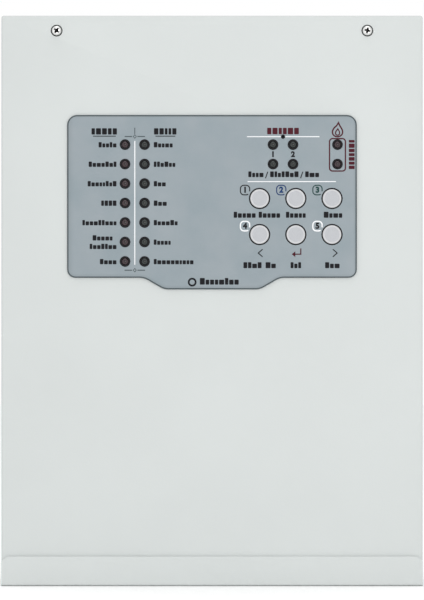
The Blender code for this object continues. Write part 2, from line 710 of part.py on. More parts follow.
def cover_studs():
    """Studs welded to the cover's back: a spacer up to the display board and a thread through it."""
    seat = DISPLAY_FRONT - GAP
    studs = []
    for i, (x, z) in enumerate(corners(DISPLAY_BOARD), start=1):
        profile = [(0, seat - COVER_BACK + SHEET / 2), (STUD_R, seat - COVER_BACK + SHEET / 2), (STUD_R, 0),
                   (STUD_THREAD_R, 0), (STUD_THREAD_R, -4 * MM), (0, -4 * MM)]
        studs.append(turned(f"cover_stud_{i}", profile, (x, seat, z), 12))
    return studs


def make_overlay():
    middle = (OVERLAY_FRONT + OVERLAY_BACK) / 2
    overlay = plate("overlay", overlay_outline(), OVERLAY_T, (0, middle, 0), "overlay", FRONT_AXIS)
    cut(overlay,
        front_holes("overlay_led_holes", list(led_places().values()), LED_HOLE_R, OVERLAY_FRONT, OVERLAY_BACK, 12),
        front_holes("overlay_button_holes", button_places(), CAP_HOLE_R, OVERLAY_FRONT, OVERLAY_BACK, 20))
    return overlay


def make_leds():
    """5 mm lamps: a domed body on a wider rim, just in front of the display board."""
    base = DISPLAY_FRONT - GAP
    height = base - LED_TIP
    rim = 1.0 * MM
    dome = arc((0, height - LED_R), LED_R, 90, 0, 3)
    profile = [*dome, (LED_R, rim), (LED_RIM_R, rim), (LED_RIM_R, 0), (0, 0)]
    return [turned(name, profile, (x, base, z), 12, "led") for name, (x, z) in led_places().items()]


def make_buttons():
    """Round caps with a retaining flange behind the cover and a plunger into the switch."""
    crown, edge = 0.3 * MM, 0.4 * MM
    flange_front = OVERLAY_FRONT - (COVER_BACK + GAP)
    flange_back = flange_front - 1.0 * MM
    plunger_end = flange_back - 1.4 * MM
    profile = [(0, crown), (CAP_R - edge, crown), (CAP_R, crown - edge), (CAP_R, flange_front),
               (CAP_FLANGE_R, flange_front), (CAP_FLANGE_R, flange_back), (PLUNGER_R, flange_back),
               (PLUNGER_R, plunger_end), (0, plunger_end)]
    return [turned(f"button_{i}", profile, (x, OVERLAY_FRONT, z), 20, "button")
            for i, (x, z) in enumerate(button_places(), start=1)]


def make_switches():
    """Tact switch bodies on the display board, each with a well for the cap's plunger."""
    half, height, well = 3 * MM, 3.1 * MM, 1.6 * MM
    back = DISPLAY_FRONT - GAP
    front = back - height
    switches = []
    for i, (x, z) in enumerate(button_places(), start=1):
        switch = box(f"tact_switch_{i}", (x - half, front, z - half), (x + half, back, z + half), "black_plastic")
        cut(switch, front_holes(f"switch_well_{i}", [(x, z)], PLUNGER_R + GAP, front - well, front + well - OVERCUT, 12))
        switches.append(switch)
    return switches


def make_display_board():
    return board("display_board", DISPLAY_BOARD, DISPLAY_FRONT, corners(DISPLAY_BOARD))


def make_buzzer():
    back = DISPLAY_FRONT + PCB_T + GAP
    radius, height, hole = 11.5 * MM, 9.5 * MM, 1.6 * MM
    floor, edge = height - 3 * MM, 0.6 * MM
    profile = [(0, floor), (hole, floor), (hole, height), (radius - edge, height), (radius, height - edge),
               (radius, 0), (0, 0)]
    return turned("buzzer", profile, (10 * MM, back, 74 * MM), 20, "black_plastic", (-math.pi / 2, 0, 0))


def make_ribbon_socket():
    back = DISPLAY_FRONT + PCB_T + GAP
    x, half, low = -50 * MM, 13 * MM, 24 * MM + GAP
    return box("ribbon_socket", (x - half, back, low), (x + half, back + 8 * MM, low + 9 * MM), "black_plastic")


def make_screws():
    """Pan-head screws with a cross recess, through the cover into the nuts."""
    head_back = COVER_FRONT - 0.2 * MM
    crown = arc((0, -3.0 * MM), 5.2 * MM, 90, 54, 4)
    profile = [*crown, (SCREW_HEAD_R, 0.9 * MM), (SCREW_HEAD_R, 0), (SCREW_R, 0),
               (SCREW_R, head_back - SCREW_TIP_Y), (0, head_back - SCREW_TIP_Y)]
    screws = []
    for label, (x, z) in zip(("left", "right"), screw_places()):
        screw = turned(f"cover_screw_{label}", profile, (x, head_back, z), 20, "zinc")
        cut(screw, *cross_recess(label, x, head_back - SCREW_HEAD_H, z))
        screws.append(screw)
    return screws


def cross_recess(label, x, front, z):
    """Two crossed slots cut into a screw's head."""
    arm, half, depth = 2.1 * MM, 0.45 * MM, 1.1 * MM
    return [box(f"recess_{label}_{i}", (x - across, front - depth, z - up), (x + across, front + depth, z + up))
            for i, (across, up) in enumerate([(arm, half), (half, arm)], start=1)]


# ---------------------------------------------------------------- assembly

def hang_on_hinge(pieces):
    """Parent what the cover carries, and the shapes that cut or join it, to an empty on the hinge axis."""
    hinge = bpy.data.objects.new("cover_hinge", None)
    hinge.location = (0, HINGE_Y, HINGE_Z)
    PARTS.objects.link(hinge)
    tools = [modifier.object for piece in pieces for modifier in piece.modifiers if modifier.type == 'BOOLEAN']
    for obj in pieces + tools:
        obj.parent = hinge
        obj.matrix_parent_inverse = Matrix.Translation(-hinge.location)


def build():
    make_back_box()
    make_hinge_pins()
    make_nuts()
    make_main_board()
    make_terminal_strip()
    make_relays()
    make_heat_sink()
    make_capacitor()
    make_mains_input()
    make_transformer()
    make_batteries()
    make_battery_strap()
    make_battery_leads()
    make_ribbon_cable()
    carried = [make_front_cover(), make_overlay(), make_display_board(), make_buzzer(), make_ribbon_socket()]
    carried += make_leds() + make_switches() + make_buttons() + make_screws()
    hang_on_hinge(carried)


build()
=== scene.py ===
"""Looks of the two-zone fire alarm control panel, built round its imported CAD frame.

Lengths are in millimetres and piece() turns them into metres. The front faces -Y, +X is to the right
and +Z is up, as in the frame.
"""

import math
import random

import bmesh
import bpy
from mathutils import Matrix, Vector


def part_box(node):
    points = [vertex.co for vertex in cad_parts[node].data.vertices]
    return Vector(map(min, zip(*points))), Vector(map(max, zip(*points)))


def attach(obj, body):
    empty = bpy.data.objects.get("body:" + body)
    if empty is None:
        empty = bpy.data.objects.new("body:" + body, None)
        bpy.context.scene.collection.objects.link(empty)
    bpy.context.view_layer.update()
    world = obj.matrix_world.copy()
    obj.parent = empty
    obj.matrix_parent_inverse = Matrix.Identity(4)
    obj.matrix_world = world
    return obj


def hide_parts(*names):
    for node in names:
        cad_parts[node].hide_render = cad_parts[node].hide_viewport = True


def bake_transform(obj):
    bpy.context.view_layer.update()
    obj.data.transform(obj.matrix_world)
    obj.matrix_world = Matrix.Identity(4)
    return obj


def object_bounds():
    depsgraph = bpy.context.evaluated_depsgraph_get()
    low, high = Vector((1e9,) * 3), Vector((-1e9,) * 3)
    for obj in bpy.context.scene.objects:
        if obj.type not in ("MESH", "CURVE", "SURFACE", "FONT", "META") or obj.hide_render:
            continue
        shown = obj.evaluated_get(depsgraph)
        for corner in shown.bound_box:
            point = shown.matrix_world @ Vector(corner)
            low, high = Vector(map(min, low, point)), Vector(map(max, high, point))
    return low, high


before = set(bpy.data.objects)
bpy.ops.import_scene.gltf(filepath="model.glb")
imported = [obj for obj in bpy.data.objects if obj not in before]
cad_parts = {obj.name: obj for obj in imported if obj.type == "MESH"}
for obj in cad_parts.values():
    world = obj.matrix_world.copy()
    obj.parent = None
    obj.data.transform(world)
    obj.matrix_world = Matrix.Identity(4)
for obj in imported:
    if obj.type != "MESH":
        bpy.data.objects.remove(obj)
CAD_BOX = [list(corner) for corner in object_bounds()]
TO_METRES = 0.001
SCENE = bpy.context.scene


def cad(node):
    """A CAD node's lowest and highest corner, in millimetres."""
    low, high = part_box(node)
    return low / TO_METRES, high / TO_METRES


def middle(node):
    low, high = cad(node)
    return (low + high) / 2


# Planes and places read from the frame
COVER_FRONT = cad("front_cover")[0].y
OVERLAY_LOW, OVERLAY_HIGH = cad("overlay")
FACE = OVERLAY_LOW.y                          # y of the overlay's front
BOARD_LOW, BOARD_HIGH = cad("main_board")
BOARD_FACE = BOARD_LOW.y                      # y of the main board's component side
DISPLAY_LOW, DISPLAY_HIGH = cad("display_board")
DISPLAY_REAR = DISPLAY_HIGH.y
LEDS = [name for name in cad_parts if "_led" in name]
BUTTONS = [f"button_{i}" for i in range(1, 7)]
STATUS_X = middle("status_led_1").x
FAULT_X = middle("fault_led_1").x
ROWS = [middle(f"status_led_{i}").z for i in range(1, 8)]
WARM_LEDS = ("status", "fire_led")
SHOULDER_Z = OVERLAY_LOW.z + 7.0              # where the film's low edge steps down to its middle tab
SHOULDER_X, TAB_X = 43.8, 26.3                # half-widths of the step's outer and inner end

FIELD_LOW, FIELD_HIGH = cad("field_terminal_strip")
FIELD_POLES = 26
FIELD_PITCH = (FIELD_HIGH.x - FIELD_LOW.x) / FIELD_POLES
FIELD_XS = [FIELD_LOW.x + (i + 0.5) * FIELD_PITCH for i in range(FIELD_POLES)]
LEFT_LOW, LEFT_HIGH = cad("battery_left")
RIGHT_LOW, RIGHT_HIGH = cad("battery_right")

# Sizes that more than one piece shares
SCREW_HEAD_R, SCREW_HEAD_H, SCREW_RECESS_R = 2.95, 2.35, 1.75
BLADE_INSET = 10                              # from a battery's side to its terminal blade
BLADE_Y, BLADE_TOP = LEFT_LOW.y + 13.5, LEFT_HIGH.z
PIN_PITCH = 2.54
SEAT = 0.02                                   # clearance between a board and what sits on it
RIBBON_WAYS = 20                              # the flat cable's conductors, 1 mm apart

# Colours, linear
PAINT = (0.519, 0.545, 0.538)
FILM = (0.187, 0.232, 0.256)
INK_COLOURS = {"black": (0.006, 0.006, 0.008), "white": (0.74, 0.75, 0.76), "red": (0.060, 0.007, 0.014),
               "blue": (0.008, 0.034, 0.115), "green": (0.012, 0.048, 0.044), "edge": (0.060, 0.076, 0.082)}
CAP_COLOUR = (0.41, 0.42, 0.44)


# ---------------------------------------------------------------- materials

def is_socket(value):
    return isinstance(value, bpy.types.NodeSocket)


def connect(target, inputs):
    """Feed a node's inputs, each with a value or from a socket."""
    for key, value in inputs.items():
        if is_socket(value):
            target.id_data.links.new(value, target.inputs[key])
        else:
            target.inputs[key].default_value = value


def node(kind, inputs, tree=None, **settings):
    """Add a node to a tree; with none given, to the one that its inputs come from."""
    tree = tree or next(value.id_data for value in inputs.values() if is_socket(value))
    made = tree.nodes.new(kind)
    for key, value in settings.items():
        setattr(made, key, value)
    connect(made, inputs)
    return made


def feed(shader, **inputs):
    """Feed a shader, with _ for each space in an input's name."""
    connect(shader, {key.replace("_", " "): value for key, value in inputs.items()})


def scaled(at, by):
    """A point stretched along its axes."""
    return node("ShaderNodeVectorMath", {0: at, 1: by}, operation='MULTIPLY').outputs[0]


def place_on(look):
    """The point on the object, in millimetres."""
    at = node("ShaderNodeTexCoord", {}, look.node_tree).outputs["Object"]
    return scaled(at, (1 / TO_METRES,) * 3)


def shader_of(look):
    return look.node_tree.nodes["Principled BSDF"]


def new_look(name):
    """A material, its shader and the point on the object."""
    look = bpy.data.materials.new(name)
    look.use_nodes = True
    return look, shader_of(look), place_on(look)


def math_of(operation, *values):
    return node("ShaderNodeMath", dict(enumerate(values)), operation=operation).outputs[0]


def weighed(first, second):
    """Two values added, with the first counting for more."""
    return math_of('ADD', math_of('MULTIPLY', first, 0.6), math_of('MULTIPLY', second, 0.4))


def axes(at):
    return node("ShaderNodeSeparateXYZ", {0: at}).outputs


def from_axis(at):
    """Distance from the object's Y axis."""
    x, _, z = axes(at)
    flat = node("ShaderNodeCombineXYZ", {0: x, 2: z}).outputs[0]
    return node("ShaderNodeVectorMath", {0: flat}, operation='LENGTH').outputs[1]


def noise(at, scale, detail=3.0, roughness=0.5):
    inputs = {"Vector": at, "Scale": scale, "Detail": detail, "Roughness": roughness}
    return node("ShaderNodeTexNoise", inputs).outputs[0]


def spread(value, low, high, from_low=0.3, from_high=0.7, smooth=False):
    """A value's range mapped to another one."""
    inputs = {"Value": value, "From Min": from_low, "From Max": from_high, "To Min": low, "To Max": high}
    kind = 'SMOOTHSTEP' if smooth else 'LINEAR'
    return node("ShaderNodeMapRange", inputs, interpolation_type=kind).outputs[0]


def mix(factor, first, second):
    """Mix two colours, each a triple or a socket."""
    first, second = [c if is_socket(c) else (*c, 1) for c in (first, second)]
    return node("ShaderNodeMix", {0: factor, 6: first, 7: second}, data_type='RGBA').outputs[2]


def bump(height, depth, normal=None):
    """Relief of the given depth in millimetres."""
    inputs = {"Height": height, "Distance": depth * TO_METRES, "Strength": 1.0}
    if normal:
        inputs["Normal"] = normal
    return node("ShaderNodeBump", inputs).outputs[0]


def shades(colour, by):
    """A darker and a lighter shade of a colour."""
    return [tuple(min(1.0, c * (1 + way * by)) for c in colour) for way in (-1, 1)]


def surface(name, colour, roughness, metallic=0.0, patch=0.05, grain=1.2, relief=0.01, uneven=0.06,
            coat=0.0, shine=0.5, stretch=(1, 1, 1)):
    """A surface with soft patches of tone, uneven gloss and a fine grain that may run one way."""
    look, shader, at = new_look(name)
    grains = noise(scaled(at, stretch), grain)
    tone = spread(weighed(noise(at, 0.06), grains), 0, 1)
    feed(shader, Base_Color=mix(tone, *shades(colour, patch)), Metallic=metallic,
         Roughness=spread(grains, roughness - uneven, roughness + uneven), Normal=bump(grains, relief),
         Specular_IOR_Level=shine, Coat_Weight=coat, Coat_Roughness=0.08)
    return look


def powder_coat():
    """Light grey powder coat: fine orange peel with a little grit, and a trace of dust in the tone."""
    look, shader, at = new_look("powder_coat")
    peel, grit, tone = noise(at, 0.9, 2.0), noise(at, 5.5, 2.0, 0.6), noise(at, 0.018, 2.0)
    feed(shader, Base_Color=mix(spread(tone, 0, 1), *shades(PAINT, 0.012)), Specular_IOR_Level=0.35,
         Roughness=spread(peel, 0.42, 0.54), Normal=bump(grit, 0.010, bump(peel, 0.035)))
    return look


def film_look():
    """Printed polycarbonate film: satin, with a fine sparkle, and painted shade darkening it towards its
    edges, most along the right.
    """
    look, shader, at = new_look("overlay_film")
    across, _, up = axes(at)
    outward = math_of('ABSOLUTE', across)
    low_edge = spread(outward, OVERLAY_LOW.z, SHOULDER_Z, TAB_X, SHOULDER_X, smooth=True)
    # Painted shade: each factor below darkens the colour near one edge of the film, deepest on the right.
    edge = 1.0
    for value, shade, start, end in ((across, 0.80, OVERLAY_LOW.x, OVERLAY_LOW.x + 4.5),
                                     (across, 0.68, OVERLAY_HIGH.x, OVERLAY_HIGH.x - 2.4),
                                     (up, 0.86, OVERLAY_HIGH.z, OVERLAY_HIGH.z - 2.5),
                                     (math_of('SUBTRACT', up, low_edge), 0.76, 0.0, 3.0)):
        edge = math_of('MULTIPLY', edge, spread(value, shade, 1.0, start, end, smooth=True))
    sparkle = noise(at, 3.2, 2.0)
    tone = mix(spread(sparkle, 0, 1), *shades(FILM, 0.035))
    tone = mix(spread(noise(at, 0.05, 2.0), 0, 0.5), tone, (0.250, 0.279, 0.300))
    feed(shader, Base_Color=mix(edge, (0.03, 0.04, 0.045), tone), Roughness=spread(sparkle, 0.36, 0.50),
         Normal=bump(sparkle, 0.006))
    return look


def cap_look():
    """Moulded cap: a fine spark-eroded face inside a smoother rim, which is coloured lighter as a painted
    highlight.
    """
    look, shader, at = new_look("cap_plastic")
    rim = spread(from_axis(at), 0, 1, 4.40, 4.75)
    speck = noise(at, 2.6, 3.0, 0.65)
    depth = math_of('MULTIPLY', speck, math_of('SUBTRACT', 1.0, rim))
    face = mix(spread(speck, 0, 1), *shades(CAP_COLOUR, 0.07))
    # Painted highlight: the rim's colour is lighter than the face's, for the light the raised rim catches.
    feed(shader, Base_Color=mix(rim, face, (0.49, 0.495, 0.505)), Roughness=spread(rim, 0.62, 0.38, 0, 1),
         Normal=bump(depth, 0.05))
    return look


def lamp_look(name, tint):
    """Unlit tinted lamp: smoky epoxy over a dark die cup, paler in a ring where the lens gathers light."""
    look, shader, at = new_look(name)
    haze = math_of('ADD', from_axis(at), spread(noise(at, 0.7), -0.35, 0.35))
    ring = spread(haze, 0, 1, 0.35, 1.25, smooth=True)
    edge = spread(haze, 0, 1, 1.45, 2.35, smooth=True)
    cup, rim = [tuple(c * share for c in tint) for share in (0.25, 0.12)]
    feed(shader, Base_Color=mix(edge, mix(ring, cup, tint), rim), Roughness=spread(haze, 0.12, 0.22, 0, 2.5),
         Normal=bump(noise(at, 1.5), 0.01), Specular_IOR_Level=0.25, Coat_Weight=0.2, Coat_Roughness=0.05)
    return look


def zinc_plate(name, colour=(0.70, 0.70, 0.68)):
    """Zinc-plated steel: mottled crystals, fine grain and uneven gloss."""
    look, shader, at = new_look(name)
    crystals = node("ShaderNodeTexVoronoi", {"Vector": at, "Scale": 1.3, "Randomness": 1.0})
    tone = node("ShaderNodeSeparateColor", {0: crystals.outputs["Color"]}).outputs[0]
    grains = noise(at, 1.6, 4.0)
    feed(shader, Base_Color=mix(tone, *shades(colour, 0.03)), Metallic=1.0, Normal=bump(grains, 0.008),
         Roughness=spread(math_of('MULTIPLY_ADD', tone, 0.15, grains), 0.27, 0.42))
    return look


def screw_look():
    """Plated screw: bright head and shank, with painted shade making the drive recess dark inside."""
    look = zinc_plate("screw_plate", (0.80, 0.80, 0.79))
    shader, at = shader_of(look), place_on(look)
    bright = shader.inputs["Base Color"].links[0].from_socket
    # Painted shade: inside the recess and below the head's face the colour turns near black and loses its
    # metal, for the recess's shadow.
    inside = spread(from_axis(at), 1, 0, SCREW_RECESS_R + 0.1, SCREW_RECESS_R + 0.2)
    sunk = spread(axes(at)["Y"], 0, 1, 0.30 - SCREW_HEAD_H, 0.50 - SCREW_HEAD_H)
    recess_shade = math_of('MULTIPLY', inside, sunk)
    feed(shader, Base_Color=mix(recess_shade, bright, (0.004, 0.004, 0.004)), Specular_IOR_Level=0.1,
         Metallic=math_of('SUBTRACT', 1.0, recess_shade))
    return look


def wave_along(at, axis, pitch):
    """A sine wave along an axis."""
    return math_of('SINE', math_of('MULTIPLY', axes(at)[axis], math.tau / pitch))


def board_look():
    """Solder mask over copper: patches of parallel raised tracks that run across or up, and tinned vias."""
    look, shader, at = new_look("board")
    cells = node("ShaderNodeTexVoronoi", {"Vector": at, "Scale": 0.075}, distance='CHEBYCHEV')
    pick = node("ShaderNodeSeparateColor", {0: cells.outputs["Color"]}).outputs[0]
    runs = []
    for axis, side, limit in (("X", 'LESS_THAN', 0.36), ("Z", 'GREATER_THAN', 0.50)):
        line = spread(wave_along(at, axis, PIN_PITCH / 2), 0, 1, 0.45, 0.70)
        runs.append(math_of('MULTIPLY', line, math_of(side, pick, limit)))
    tracks = math_of('MAXIMUM', *runs)
    dots = node("ShaderNodeTexVoronoi", {"Vector": at, "Scale": 0.13}).outputs["Distance"]
    via = spread(dots, 1, 0, 0.045, 0.06)
    plain = mix(spread(noise(at, 0.3), 0, 1), *shades((0.008, 0.085, 0.035), 0.15))
    masked = mix(tracks, plain, (0.014, 0.135, 0.055))
    feed(shader, Base_Color=mix(via, masked, (0.62, 0.62, 0.58)), Metallic=via,
         Roughness=spread(noise(at, 2.0), 0.28, 0.42), Normal=bump(tracks, 0.04))
    return look


def banded(name, colour, roughness, pitch, axis, metallic=0.0, depth=0.05, contrast=0.25):
    """A surface in fine bands at a pitch along one axis, such as stacked sheets or wound tape."""
    look, shader, at = new_look(name)
    scatter = noise(at, 0.8, 4.0)
    mixed = weighed(spread(wave_along(at, axis, pitch), 0, 1, -1, 1), scatter)
    feed(shader, Base_Color=mix(mixed, *shades(colour, contrast)), Metallic=metallic,
         Roughness=spread(scatter, roughness - 0.08, roughness + 0.08), Normal=bump(mixed, depth))
    return look


def glass_look():
    """Clear glass, with a trace of unevenness."""
    look = surface("fuse_glass", (0.85, 0.90, 0.90), 0.06, uneven=0.03, relief=0.004)
    feed(shader_of(look), Transmission_Weight=0.9)
    return look


def ribbon_look():
    """Grey flat cable with a red mark along its first conductor."""
    look, shader, at = new_look("ribbon")
    mark = cad("ribbon_socket")[0].x + 4
    stripe = spread(axes(at)["X"], 1, 0, mark - 0.05, mark + 0.05)
    scuff = noise(at, 0.7, 4.0)
    grey = mix(spread(scuff, 0, 1), *shades((0.42, 0.43, 0.45), 0.06))
    feed(shader, Base_Color=mix(stripe, grey, (0.45, 0.03, 0.03)), Roughness=spread(scuff, 0.42, 0.58),
         Normal=bump(scuff, 0.01))
    return look


SURFACES = {
    "aluminium": dict(colour=(0.62, 0.63, 0.64), roughness=0.34, metallic=1.0, grain=2.0, relief=0.02,
                      stretch=(1, 1, 0.05)),
    "black_plastic": dict(colour=(0.018, 0.018, 0.020), roughness=0.42, patch=0.2),
    "grey_plastic": dict(colour=(0.22, 0.23, 0.24), roughness=0.48),
    "battery_case": dict(colour=(0.045, 0.048, 0.052), roughness=0.50, patch=0.15, grain=2.4, relief=0.03),
    "terminal_green": dict(colour=(0.02, 0.22, 0.07), roughness=0.40),
    "relay_case": dict(colour=(0.02, 0.07, 0.28), roughness=0.32, coat=0.3),
    "capacitor_sleeve": dict(colour=(0.02, 0.022, 0.035), roughness=0.30, coat=0.4),
    "red_wire": dict(colour=(0.50, 0.018, 0.016), roughness=0.38),
    "black_wire": dict(colour=(0.016, 0.016, 0.018), roughness=0.36, patch=0.2),
}
LOOKS = {name: surface(name, **facts) for name, facts in SURFACES.items()} | {
    "powder_coat": powder_coat(),
    "overlay_print": film_look(),
    "button_cap": cap_look(),
    "led_warm": lamp_look("lamp_warm", (0.046, 0.030, 0.034)),
    "led_neutral": lamp_look("lamp_neutral", (0.027, 0.032, 0.031)),
    "zinc": zinc_plate("zinc"),
    "lamination": banded("lamination", (0.16, 0.16, 0.17), 0.45, 0.5, "Y", 0.8),
    "winding_tape": banded("winding_tape", (0.62, 0.42, 0.06), 0.38, 6.0, "Z", depth=0.12, contrast=0.10),
    "board": board_look(),
    "ribbon": ribbon_look(),
}
INKS = {ink: surface(f"ink_{ink}", colour, 0.55, patch=0.08, grain=3.0, relief=0.003, shine=0.12)
        for ink, colour in INK_COLOURS.items()}
SOLDER = surface("solder", (0.74, 0.74, 0.73), 0.26, 1.0, grain=1.5, relief=0.02)
BRASS = surface("brass", (0.72, 0.52, 0.22), 0.30, 1.0, grain=2.0)
GLASS = glass_look()
WHITE_PLASTIC = surface("white_plastic", (0.72, 0.70, 0.64), 0.42)
# Near-black with little shine: painted shade for the rings that fill the gaps round the lamps, keys and screw
# heads.
GAP_SHADE = surface("gap_shade_black", (0.007, 0.007, 0.008), 0.50, patch=0.2, shine=0.14)
SCREW = screw_look()
TAN = surface("resistor_body", (0.46, 0.34, 0.20), 0.45, patch=0.15)
LABEL = surface("battery_label", (0.50, 0.53, 0.56), 0.35, patch=0.03, coat=0.3)


# ---------------------------------------------------------------- shapes

def blanks(count):
    """New empty shapes."""
    return [bmesh.new() for _ in range(count)]


def piece(name, bm, look, body="enclosure", replaced=None, at=(0, 0, 0), sharp=35, slot=None):
    """Turn a shape into a piece that rides on a body and may stand for a CAD node.

    A look may also be given by its slot's name, which picks it from LOOKS.
    """
    if look in LOOKS:
        look, slot = LOOKS[look], look
    bmesh.ops.recalc_face_normals(bm, faces=bm.faces)
    mesh = bpy.data.meshes.new(name)
    bm.to_mesh(mesh)
    bm.free()
    mesh.transform(Matrix.Scale(TO_METRES, 4))
    mesh.shade_smooth()
    mesh.set_sharp_from_angle(angle=math.radians(sharp))
    mesh.materials.append(look)
    return put(name, mesh, body, replaced, at)


def put(name, mesh, body, replaced=None, at=(0, 0, 0)):
    """Place a mesh as a piece; without a body, the caller says what carries it."""
    obj = bpy.data.objects.new(name, mesh)
    obj.location = Vector(at) * TO_METRES
    SCENE.collection.objects.link(obj)
    if body:
        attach(obj, body)
    if replaced:
        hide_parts(replaced)
    return obj


def block(bm, x, z, half_w, half_h, front, back, rounded=0.0, segments=2):
    """A box round (x, z), between two planes of y in either order."""
    front, back = sorted((front, back))
    slab(bm, (x - half_w, front, z - half_h), (x + half_w, back, z + half_h), rounded, segments)


def slab(bm, low, high, rounded=0.0, segments=2):
    """A box between two corners, with its edges rounded."""
    low, high = Vector(low), Vector(high)
    verts = bmesh.ops.create_cube(bm, size=1)["verts"]
    size = high - low
    for vert in verts:
        vert.co = low + Vector([(c + 0.5) * s for c, s in zip(vert.co, size)])
    if rounded:
        edges = {edge for vert in verts for edge in vert.link_edges}
        bmesh.ops.bevel(bm, geom=list(edges), offset=rounded, segments=segments, affect='EDGES', profile=0.5)


def facing(centre=(0, 0, 0), direction=(0, -1, 0)):
    """The placement that puts a shape's own +Z along a direction."""
    turn = Vector(direction).to_track_quat('Z', 'Y').to_matrix().to_4x4()
    return Matrix.Translation(Vector(centre)) @ turn


def lathe(bm, profile, placement, steps, closed=False):
    """Turn (radius, height) points about the placement's +Z."""
    turns = [math.tau * i / steps for i in range(steps)]
    rings = []
    for radius, height in profile:
        spokes = turns if radius > 1e-6 else turns[:1]
        rings.append([bm.verts.new(placement @ Vector((radius * math.cos(a), radius * math.sin(a), height)))
                      for a in spokes])
    pairs = list(zip(rings, rings[1:])) + ([(rings[-1], rings[0])] if closed else [])
    for near, far in pairs:
        for i in range(steps):
            j = i + 1
            corners = [near[i % len(near)], near[j % len(near)], far[j % len(far)], far[i % len(far)]]
            corners = list(dict.fromkeys(corners))
            if len(corners) > 2:
                bm.faces.new(corners)


def prism(bm, outline, depth, placement):
    """An outline in the placement's XY plane, made depth thick along its +Z."""
    near = [bm.verts.new(placement @ Vector((x, y, 0))) for x, y in outline]
    far = [bm.verts.new(placement @ Vector((x, y, depth))) for x, y in outline]
    bm.faces.new(near)
    bm.faces.new(far[::-1])
    count = len(outline)
    for i in range(count):
        j = (i + 1) % count
        bm.faces.new((near[i], far[i], far[j], near[j]))


def sweep(bm, sections, closed=False):
    """Join equal sections, each a loop of points, into a solid."""
    loops = [[bm.verts.new(point) for point in section] for section in sections]
    count = len(loops[0])
    for near, far in list(zip(loops, loops[1:])) + ([(loops[-1], loops[0])] if closed else []):
        for i in range(count):
            j = (i + 1) % count
            bm.faces.new((near[i], near[j], far[j], far[i]))
    if not closed:
        bm.faces.new(loops[0][::-1])
        bm.faces.new(loops[-1])


def tube(bm, path, radius, sides):
    """A round wire along a path."""
    path = [Vector(p) for p in path]
    side = Vector((1, 0, 0))
    sections = []
    for i, point in enumerate(path):
        along = (path[min(i + 1, len(path) - 1)] - path[max(i - 1, 0)]).normalized()
        side = (side - along * side.dot(along)).normalized()
        up = along.cross(side)
        sections.append([point + radius * (side * math.cos(a) + up * math.sin(a))
                         for a in (math.tau * k / sides for k in range(sides))])
    sweep(bm, sections)


def band(bm, path, thickness, low, high):
    """A strip of sheet bent along a path in the XY plane, between two heights."""
    path = [Vector(p).to_2d() for p in path]
    sections = []
    for point, side in zip(path, sides_of(path)):
        a, b = point + side * thickness / 2, point - side * thickness / 2
        sections.append([(a.x, a.y, low), (b.x, b.y, low), (b.x, b.y, high), (a.x, a.y, high)])
    sweep(bm, sections)


def sides_of(path, closed=False):
    """The sideways vector at each point of a flat path, lengthened at corners to keep the width."""
    count = len(path)
    found = []
    for i, point in enumerate(path):
        before = path[i - 1] if closed or i else None
        after = path[(i + 1) % count] if closed or i < count - 1 else None
        ways = [(b - a).normalized() for a, b in ((before, point), (point, after)) if a and b]
        normals = [Vector((-way.y, way.x)) for way in ways]
        total = sum(normals, Vector((0, 0))).normalized()
        found.append(total / max(0.5, total.dot(normals[0])))
    return found


def arc(centre, radius, start, end, steps):
    """Points on an arc, angles in degrees."""
    turns = [math.radians(start + (end - start) * i / steps) for i in range(steps + 1)]
    return [Vector((centre[0] + radius * math.cos(a), centre[1] + radius * math.sin(a))) for a in turns]


def rounded_box(x, z, half_w, half_h, radius, steps=5):
    """The outline of a rectangle with round corners, from its right-hand upper corner leftwards."""
    points = []
    for start, side, up in ((0, 1, 1), (90, -1, 1), (180, -1, -1), (270, 1, -1)):
        centre = (x + side * (half_w - radius), z + up * (half_h - radius))
        points += arc(centre, radius, start, start + 90, steps)
    return points


def rounded_path(points, radii, steps):
    """A path through points, with each inner corner rounded at its radius."""
    points = [Vector(p) for p in points]
    path = [points[0]]
    for before, corner, after, radius in zip(points, points[1:], points[2:], radii):
        back, ahead = (before - corner).normalized(), (after - corner).normalized()
        half = back.angle(ahead) / 2
        centre = corner + (back + ahead).normalized() * radius / math.sin(half)
        first, last = corner + back * radius / math.tan(half), corner + ahead * radius / math.tan(half)
        for i in range(steps + 1):
            spoke = (first - centre).slerp(last - centre, i / steps, first - centre)
            path.append(centre + radius * spoke.normalized())
    return path + [points[-1]]


def smooth_route(points, samples=8):
    """Points of a Catmull-Rom curve through the given ones."""
    points = [Vector(p) for p in points]
    padded = [2 * points[0] - points[1], *points, 2 * points[-1] - points[-2]]
    route = []
    for a, b, c, d in zip(padded, padded[1:], padded[2:], padded[3:]):
        for i in range(samples):
            t = i / samples
            route.append(0.5 * (2 * b + (c - a) * t + (2 * a - 5 * b + 4 * c - d) * t ** 2
                                + (3 * b - a - 3 * c + d) * t ** 3))
    return route + [points[-1]]


def carved(bm, cutter):
    """The first shape with the second cut out of it."""
    solids = []
    for shape in (bm, cutter):
        bmesh.ops.recalc_face_normals(shape, faces=shape.faces)
        mesh = bpy.data.meshes.new("blank")
        shape.to_mesh(mesh)
        shape.free()
        solids.append(bpy.data.objects.new("blank", mesh))
        SCENE.collection.objects.link(solids[-1])
    blank, tool = solids
    modifier = blank.modifiers.new("cut", 'BOOLEAN')
    modifier.object, modifier.operation, modifier.solver = tool, 'DIFFERENCE', 'EXACT'
    modifier.use_self = True
    depsgraph = bpy.context.evaluated_depsgraph_get()
    result = bmesh.new()
    result.from_object(blank, depsgraph)
    for obj in solids:
        bpy.data.objects.remove(obj)
    return result


# ---------------------------------------------------------------- carried-over CAD nodes

